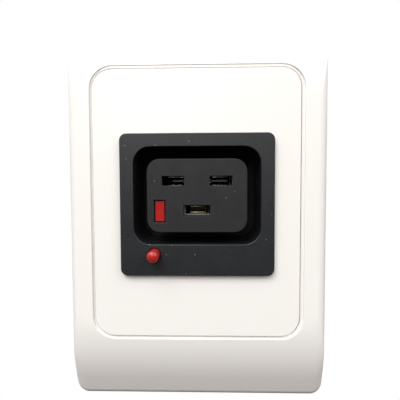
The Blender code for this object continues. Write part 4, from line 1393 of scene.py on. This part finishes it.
@dataclass
class Outlet:
    """The black mouldings of the outlet, its two screws, its contacts and their clips.

    A face in the recess is one of its walls where its normal leans along Y by less than wall_lean.
    """

    recess_width: float = 34.67
    recess_height: float = 26.66
    recess_z: float = 3.27
    recess_front: float = -12.5
    recess_slack: float = 0.1
    wall_lean: float = 0.2
    contacts: tuple[str, ...] = ("line", "neutral", "earth")

    def polish_recess_and_paint_light(self, housing: bpy.types.Object) -> None:
        """Gives the recess' walls the finish of the polished core that moulded them, in a black painted
        paler than the housing's, which paints light into the recess.

        Args:
            housing: The housing, with its own finish on all its faces.
        """
        # The recess' walls take the paler black: painted light in the recess.
        housing.data.materials.append(RECESS_BLACK_PAINTED_LIGHT.make())
        for face in housing.data.polygons:
            place = face.center / MM
            beside = abs(place.x) < self.recess_width / 2 + self.recess_slack
            level = abs(place.z - self.recess_z) < self.recess_height / 2 + self.recess_slack
            if beside and level and abs(face.normal.y) < self.wall_lean and place.y > self.recess_front:
                face.material_index = 1

    def cover_screw(self, node: str) -> Screw:
        """Plans one of the rear cover's tapping screws.

        Args:
            node: Its CAD node, which gives its place.

        Returns:
            The screw, which points to the front.
        """
        low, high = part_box(node)
        return Screw(
            node,
            x=(low.x + high.x) / 2 / MM,
            z=(low.z + high.z) / 2 / MM,
            head_face=high.y / MM,
            points=-1,
            diameter=2.0,
            length=13.0,
            head=3.8,
            head_height=1.3,
            pitch=0.8,
            recess=Recess.CROSS,
            tip=0.33,
            sides=24,
        )

    def build(self) -> None:
        """Makes the outlet's fixed pieces."""
        housing = TooledSolid("outlet_housing", HOUSING_BLACK, Body.SOCKET, radius=0.1).build()
        self.polish_recess_and_paint_light(housing)
        TooledSolid("contact_carrier", CARRIER_BLACK, Body.SOCKET, radius=0.04).build()
        tabs = tuple(f"{name}_contact" for name in self.contacts)
        SlottedCap("rear_cover", HOUSING_BLACK, Body.SOCKET, contacts=tabs).build()
        for side in ("left", "right"):
            self.cover_screw(f"cover_screw_{side}").build()
        for name in self.contacts:
            plating = BRASS if name == "earth" else TINNED
            TooledSolid(f"{name}_contact", plating, Body.SOCKET, radius=0.04, sharp=50.0).build()
            TooledSolid(f"{name}_clip", STEEL, Body.SOCKET, radius=0.05).build()


@dataclass
class LockAndRelease:
    """The red slider, the lock plate that it tilts and their two springs.

    The travels are how far each spring is pushed together, and a coil is its diameter and its turns.
    """

    travel: float = 2.0
    plate_travel: float = 1.68
    release_coil: tuple[float, int] = (3.4, 7)
    lock_coil: tuple[float, int] = (2.9, 5)

    def springs(self) -> list[CoilSpring]:
        """Plans the two springs, each in the place of its CAD node.

        Returns:
            The release spring and the lock spring.
        """
        made = []
        plans = (
            ("release_spring", "release_slide", self.travel, *self.release_coil),
            ("lock_spring", "lock_plate_tilt", self.plate_travel, *self.lock_coil),
        )
        for node, joint, travel, diameter, turns in plans:
            low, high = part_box(node)
            middle = (low + high) / 2 / MM
            length = (high.y - low.y) / MM
            keep = (length - travel) / length
            made.append(
                CoilSpring(node, joint, keep, middle.x, middle.z, low.y / MM, high.y / MM, diameter, turns)
            )
        return made

    def build(self) -> None:
        """Makes the moving pieces and the springs."""
        TooledSolid("release_slider", RED, Body.RELEASE, radius=0.14).build()
        TooledSolid("lock_plate", STEEL, Body.LOCK, radius=0.06).build()
        for spring in self.springs():
            spring.build()


# Studio


@dataclass(frozen=True)
class Lamp:
    """A square soft lamp aimed at the socket.

    Its size and distance are in millimetres and its power is in watts. Its azimuth is in degrees to
    the viewer's right of straight ahead, and its elevation in degrees above the horizon.
    """

    name: str
    size: float
    power: float
    colour: str
    azimuth: float
    elevation: float
    distance: float = 900.0

    def build(self) -> None:
        """Makes the lamp, which the camera doesn't see."""
        data = bpy.data.lights.new(self.name, "AREA")
        data.size = self.size * MM
        data.energy = self.power
        data.color = linear(self.colour)[:3]
        lamp = bpy.data.objects.new(self.name, data)
        turn, rise = math.radians(self.azimuth), math.radians(self.elevation)
        away = Vector((math.sin(turn) * math.cos(rise), -math.cos(turn) * math.cos(rise), math.sin(rise)))
        lamp.location = away * self.distance * MM
        lamp.rotation_euler = away.to_track_quat("Z", "Y").to_euler()
        lamp.visible_camera = False
        bpy.context.scene.collection.objects.link(lamp)


@dataclass
class Studio:
    """The camera, the lamps, the pale surround and the floor.

    The edges are ranges of the direction that a ray looks in, between which one light goes over into
    the next: upwards for the dome and the zenith, and towards the wall for the backdrop.
    """

    eye: tuple[float, float, float] = (3.52, -111.8, 7.24)
    pitch: float = math.radians(-2.95)
    yaw: float = math.radians(-1.55)
    roll: float = math.radians(-0.24)
    lens: float = 33.04
    sensor: float = 36.0
    near: float = 5.0
    lamps: tuple[Lamp, ...] = (
        Lamp("key", 500.0, 6.2, "#FFFFFF", -29.0, 49.0),
        Lamp("front", 350.0, 0.85, "#FFFFFF", -8.0, 20.0),
        Lamp("side", 500.0, 1.8, "#FFFCF6", 50.0, 40.0),
    )
    floor_drop: float = 260.0
    floor_size: tuple[float, float] = (1600.0, 1400.0)
    floor_back: float = 280.0
    dome_edge: tuple[float, float] = (0.05, 0.42)
    dome_light: tuple[float, float] = (0.09, 1.55)
    zenith_edge: tuple[float, float] = (0.55, 0.9)
    zenith_share: float = 0.4
    backdrop_edge: tuple[float, float] = (0.55, 0.95)
    sky_tint: str = "#FFFFFF"
    ground_tint: str = "#FFE8DD"

    def camera(self) -> None:
        """Puts the camera where the photograph was taken from."""
        forward = Vector(
            (
                math.sin(self.yaw) * math.cos(self.pitch),
                math.cos(self.yaw) * math.cos(self.pitch),
                math.sin(self.pitch),
            )
        )
        level = Vector((math.cos(self.yaw), -math.sin(self.yaw), 0.0))
        upright = level.cross(forward)
        right = level * math.cos(self.roll) + upright * math.sin(self.roll)
        up = upright * math.cos(self.roll) - level * math.sin(self.roll)
        data = bpy.data.cameras.new("camera")
        data.lens = self.lens
        data.sensor_width = self.sensor
        data.clip_start = self.near * MM
        camera = bpy.data.objects.new("camera", data)
        turn = Matrix((right, up, -forward)).transposed().to_4x4()
        camera.matrix_world = Matrix.Translation(Vector(self.eye) * MM) @ turn
        bpy.context.scene.collection.objects.link(camera)
        bpy.context.scene.camera = camera

    def surround(self) -> None:
        """Makes a white studio: a dome of light, and plain white where the camera looks past the socket.

        The dome dims towards the floor and again overhead, and its light is warmer below the
        horizon, as a pale floor throws it back. Gloss shows plain white behind the socket too.
        """
        world = bpy.data.worlds.new("studio")
        world.use_nodes = True
        tree = world.node_tree
        direction = add_node(tree, "ShaderNodeTexCoord", output="Generated")
        height = add_node(tree, "ShaderNodeSeparateXYZ", {"Vector": direction}, "Z")
        low, high = self.dome_edge
        dim, bright = self.dome_light
        span = {"Value": height, "From Min": low, "From Max": high}
        dome = {**span, "To Min": dim, "To Max": bright}
        light = add_node(tree, "ShaderNodeMapRange", dome, interpolation_type="SMOOTHSTEP")
        start, end = self.zenith_edge
        overhead = {"Value": height, "From Min": start, "From Max": end, "To Min": 1.0}
        zenith = add_node(tree, "ShaderNodeMapRange", {**overhead, "To Max": self.zenith_share})
        light = add_node(tree, "ShaderNodeMath", {0: light, 1: zenith}, operation="MULTIPLY")
        start, end = self.backdrop_edge
        behind = {"Value": height.node.outputs["Y"], "From Min": start, "From Max": end}
        backdrop = add_node(tree, "ShaderNodeMapRange", behind)
        path = add_node(tree, "ShaderNodeLightPath", output="Is Camera Ray")
        rays = path.node.outputs
        kinds = {0: rays["Is Glossy Ray"], 1: rays["Is Transmission Ray"]}
        mirrored = add_node(tree, "ShaderNodeMath", kinds, operation="MAXIMUM")
        mirrored = add_node(tree, "ShaderNodeMath", {0: mirrored, 1: backdrop}, operation="MULTIPLY")
        white = add_node(tree, "ShaderNodeMath", {0: mirrored, 1: path}, operation="MAXIMUM")
        mixed = {"Factor": white, "A": light, "B": 1.0}
        shown = add_node(tree, "ShaderNodeMix", mixed, data_type="FLOAT")
        above = add_node(tree, "ShaderNodeMapRange", span)
        plain = add_node(tree, "ShaderNodeMath", {0: white, 1: above}, operation="MAXIMUM")
        tint = {"Factor": plain, MIX_A: linear(self.ground_tint), MIX_B: linear(self.sky_tint)}
        colour = add_node(tree, "ShaderNodeMix", tint, MIX_RESULT, data_type="RGBA")
        wire(tree, tree.nodes["Background"], {"Color": colour, "Strength": shown})
        bpy.context.scene.world = world

    def floor(self) -> None:
        """Lays a plain pale floor below the socket, outside the main view, that throws no light on it."""
        wide, deep = self.floor_size
        corners = [(-wide / 2, self.floor_back - deep), (wide / 2, self.floor_back - deep)]
        corners += [(wide / 2, self.floor_back), (-wide / 2, self.floor_back)]
        shape = bmesh.new()
        shape.faces.new([shape.verts.new(Vector((x, y, -self.floor_drop)) * MM) for x, y in corners])
        floor = to_object("floor", shape)
        floor.data.materials.append(FLOOR.make())
        floor.visible_diffuse = floor.visible_glossy = False

    def build(self) -> None:
        """Sets up the studio."""
        self.camera()
        for lamp in self.lamps:
            lamp.build()
        self.surround()
        self.floor()
        bpy.context.scene.view_settings.view_transform = "Standard"


def main() -> None:
    """Builds the socket's pieces round the frame and sets up the studio."""
    logging.basicConfig(level=logging.INFO, format="%(message)s")
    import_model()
    WallPlate(SurroundCover()).build()
    Outlet().build()
    LockAndRelease().build()
    Studio().build()
    bpy.context.view_layer.update()


if __name__ == "__main__":
    main()
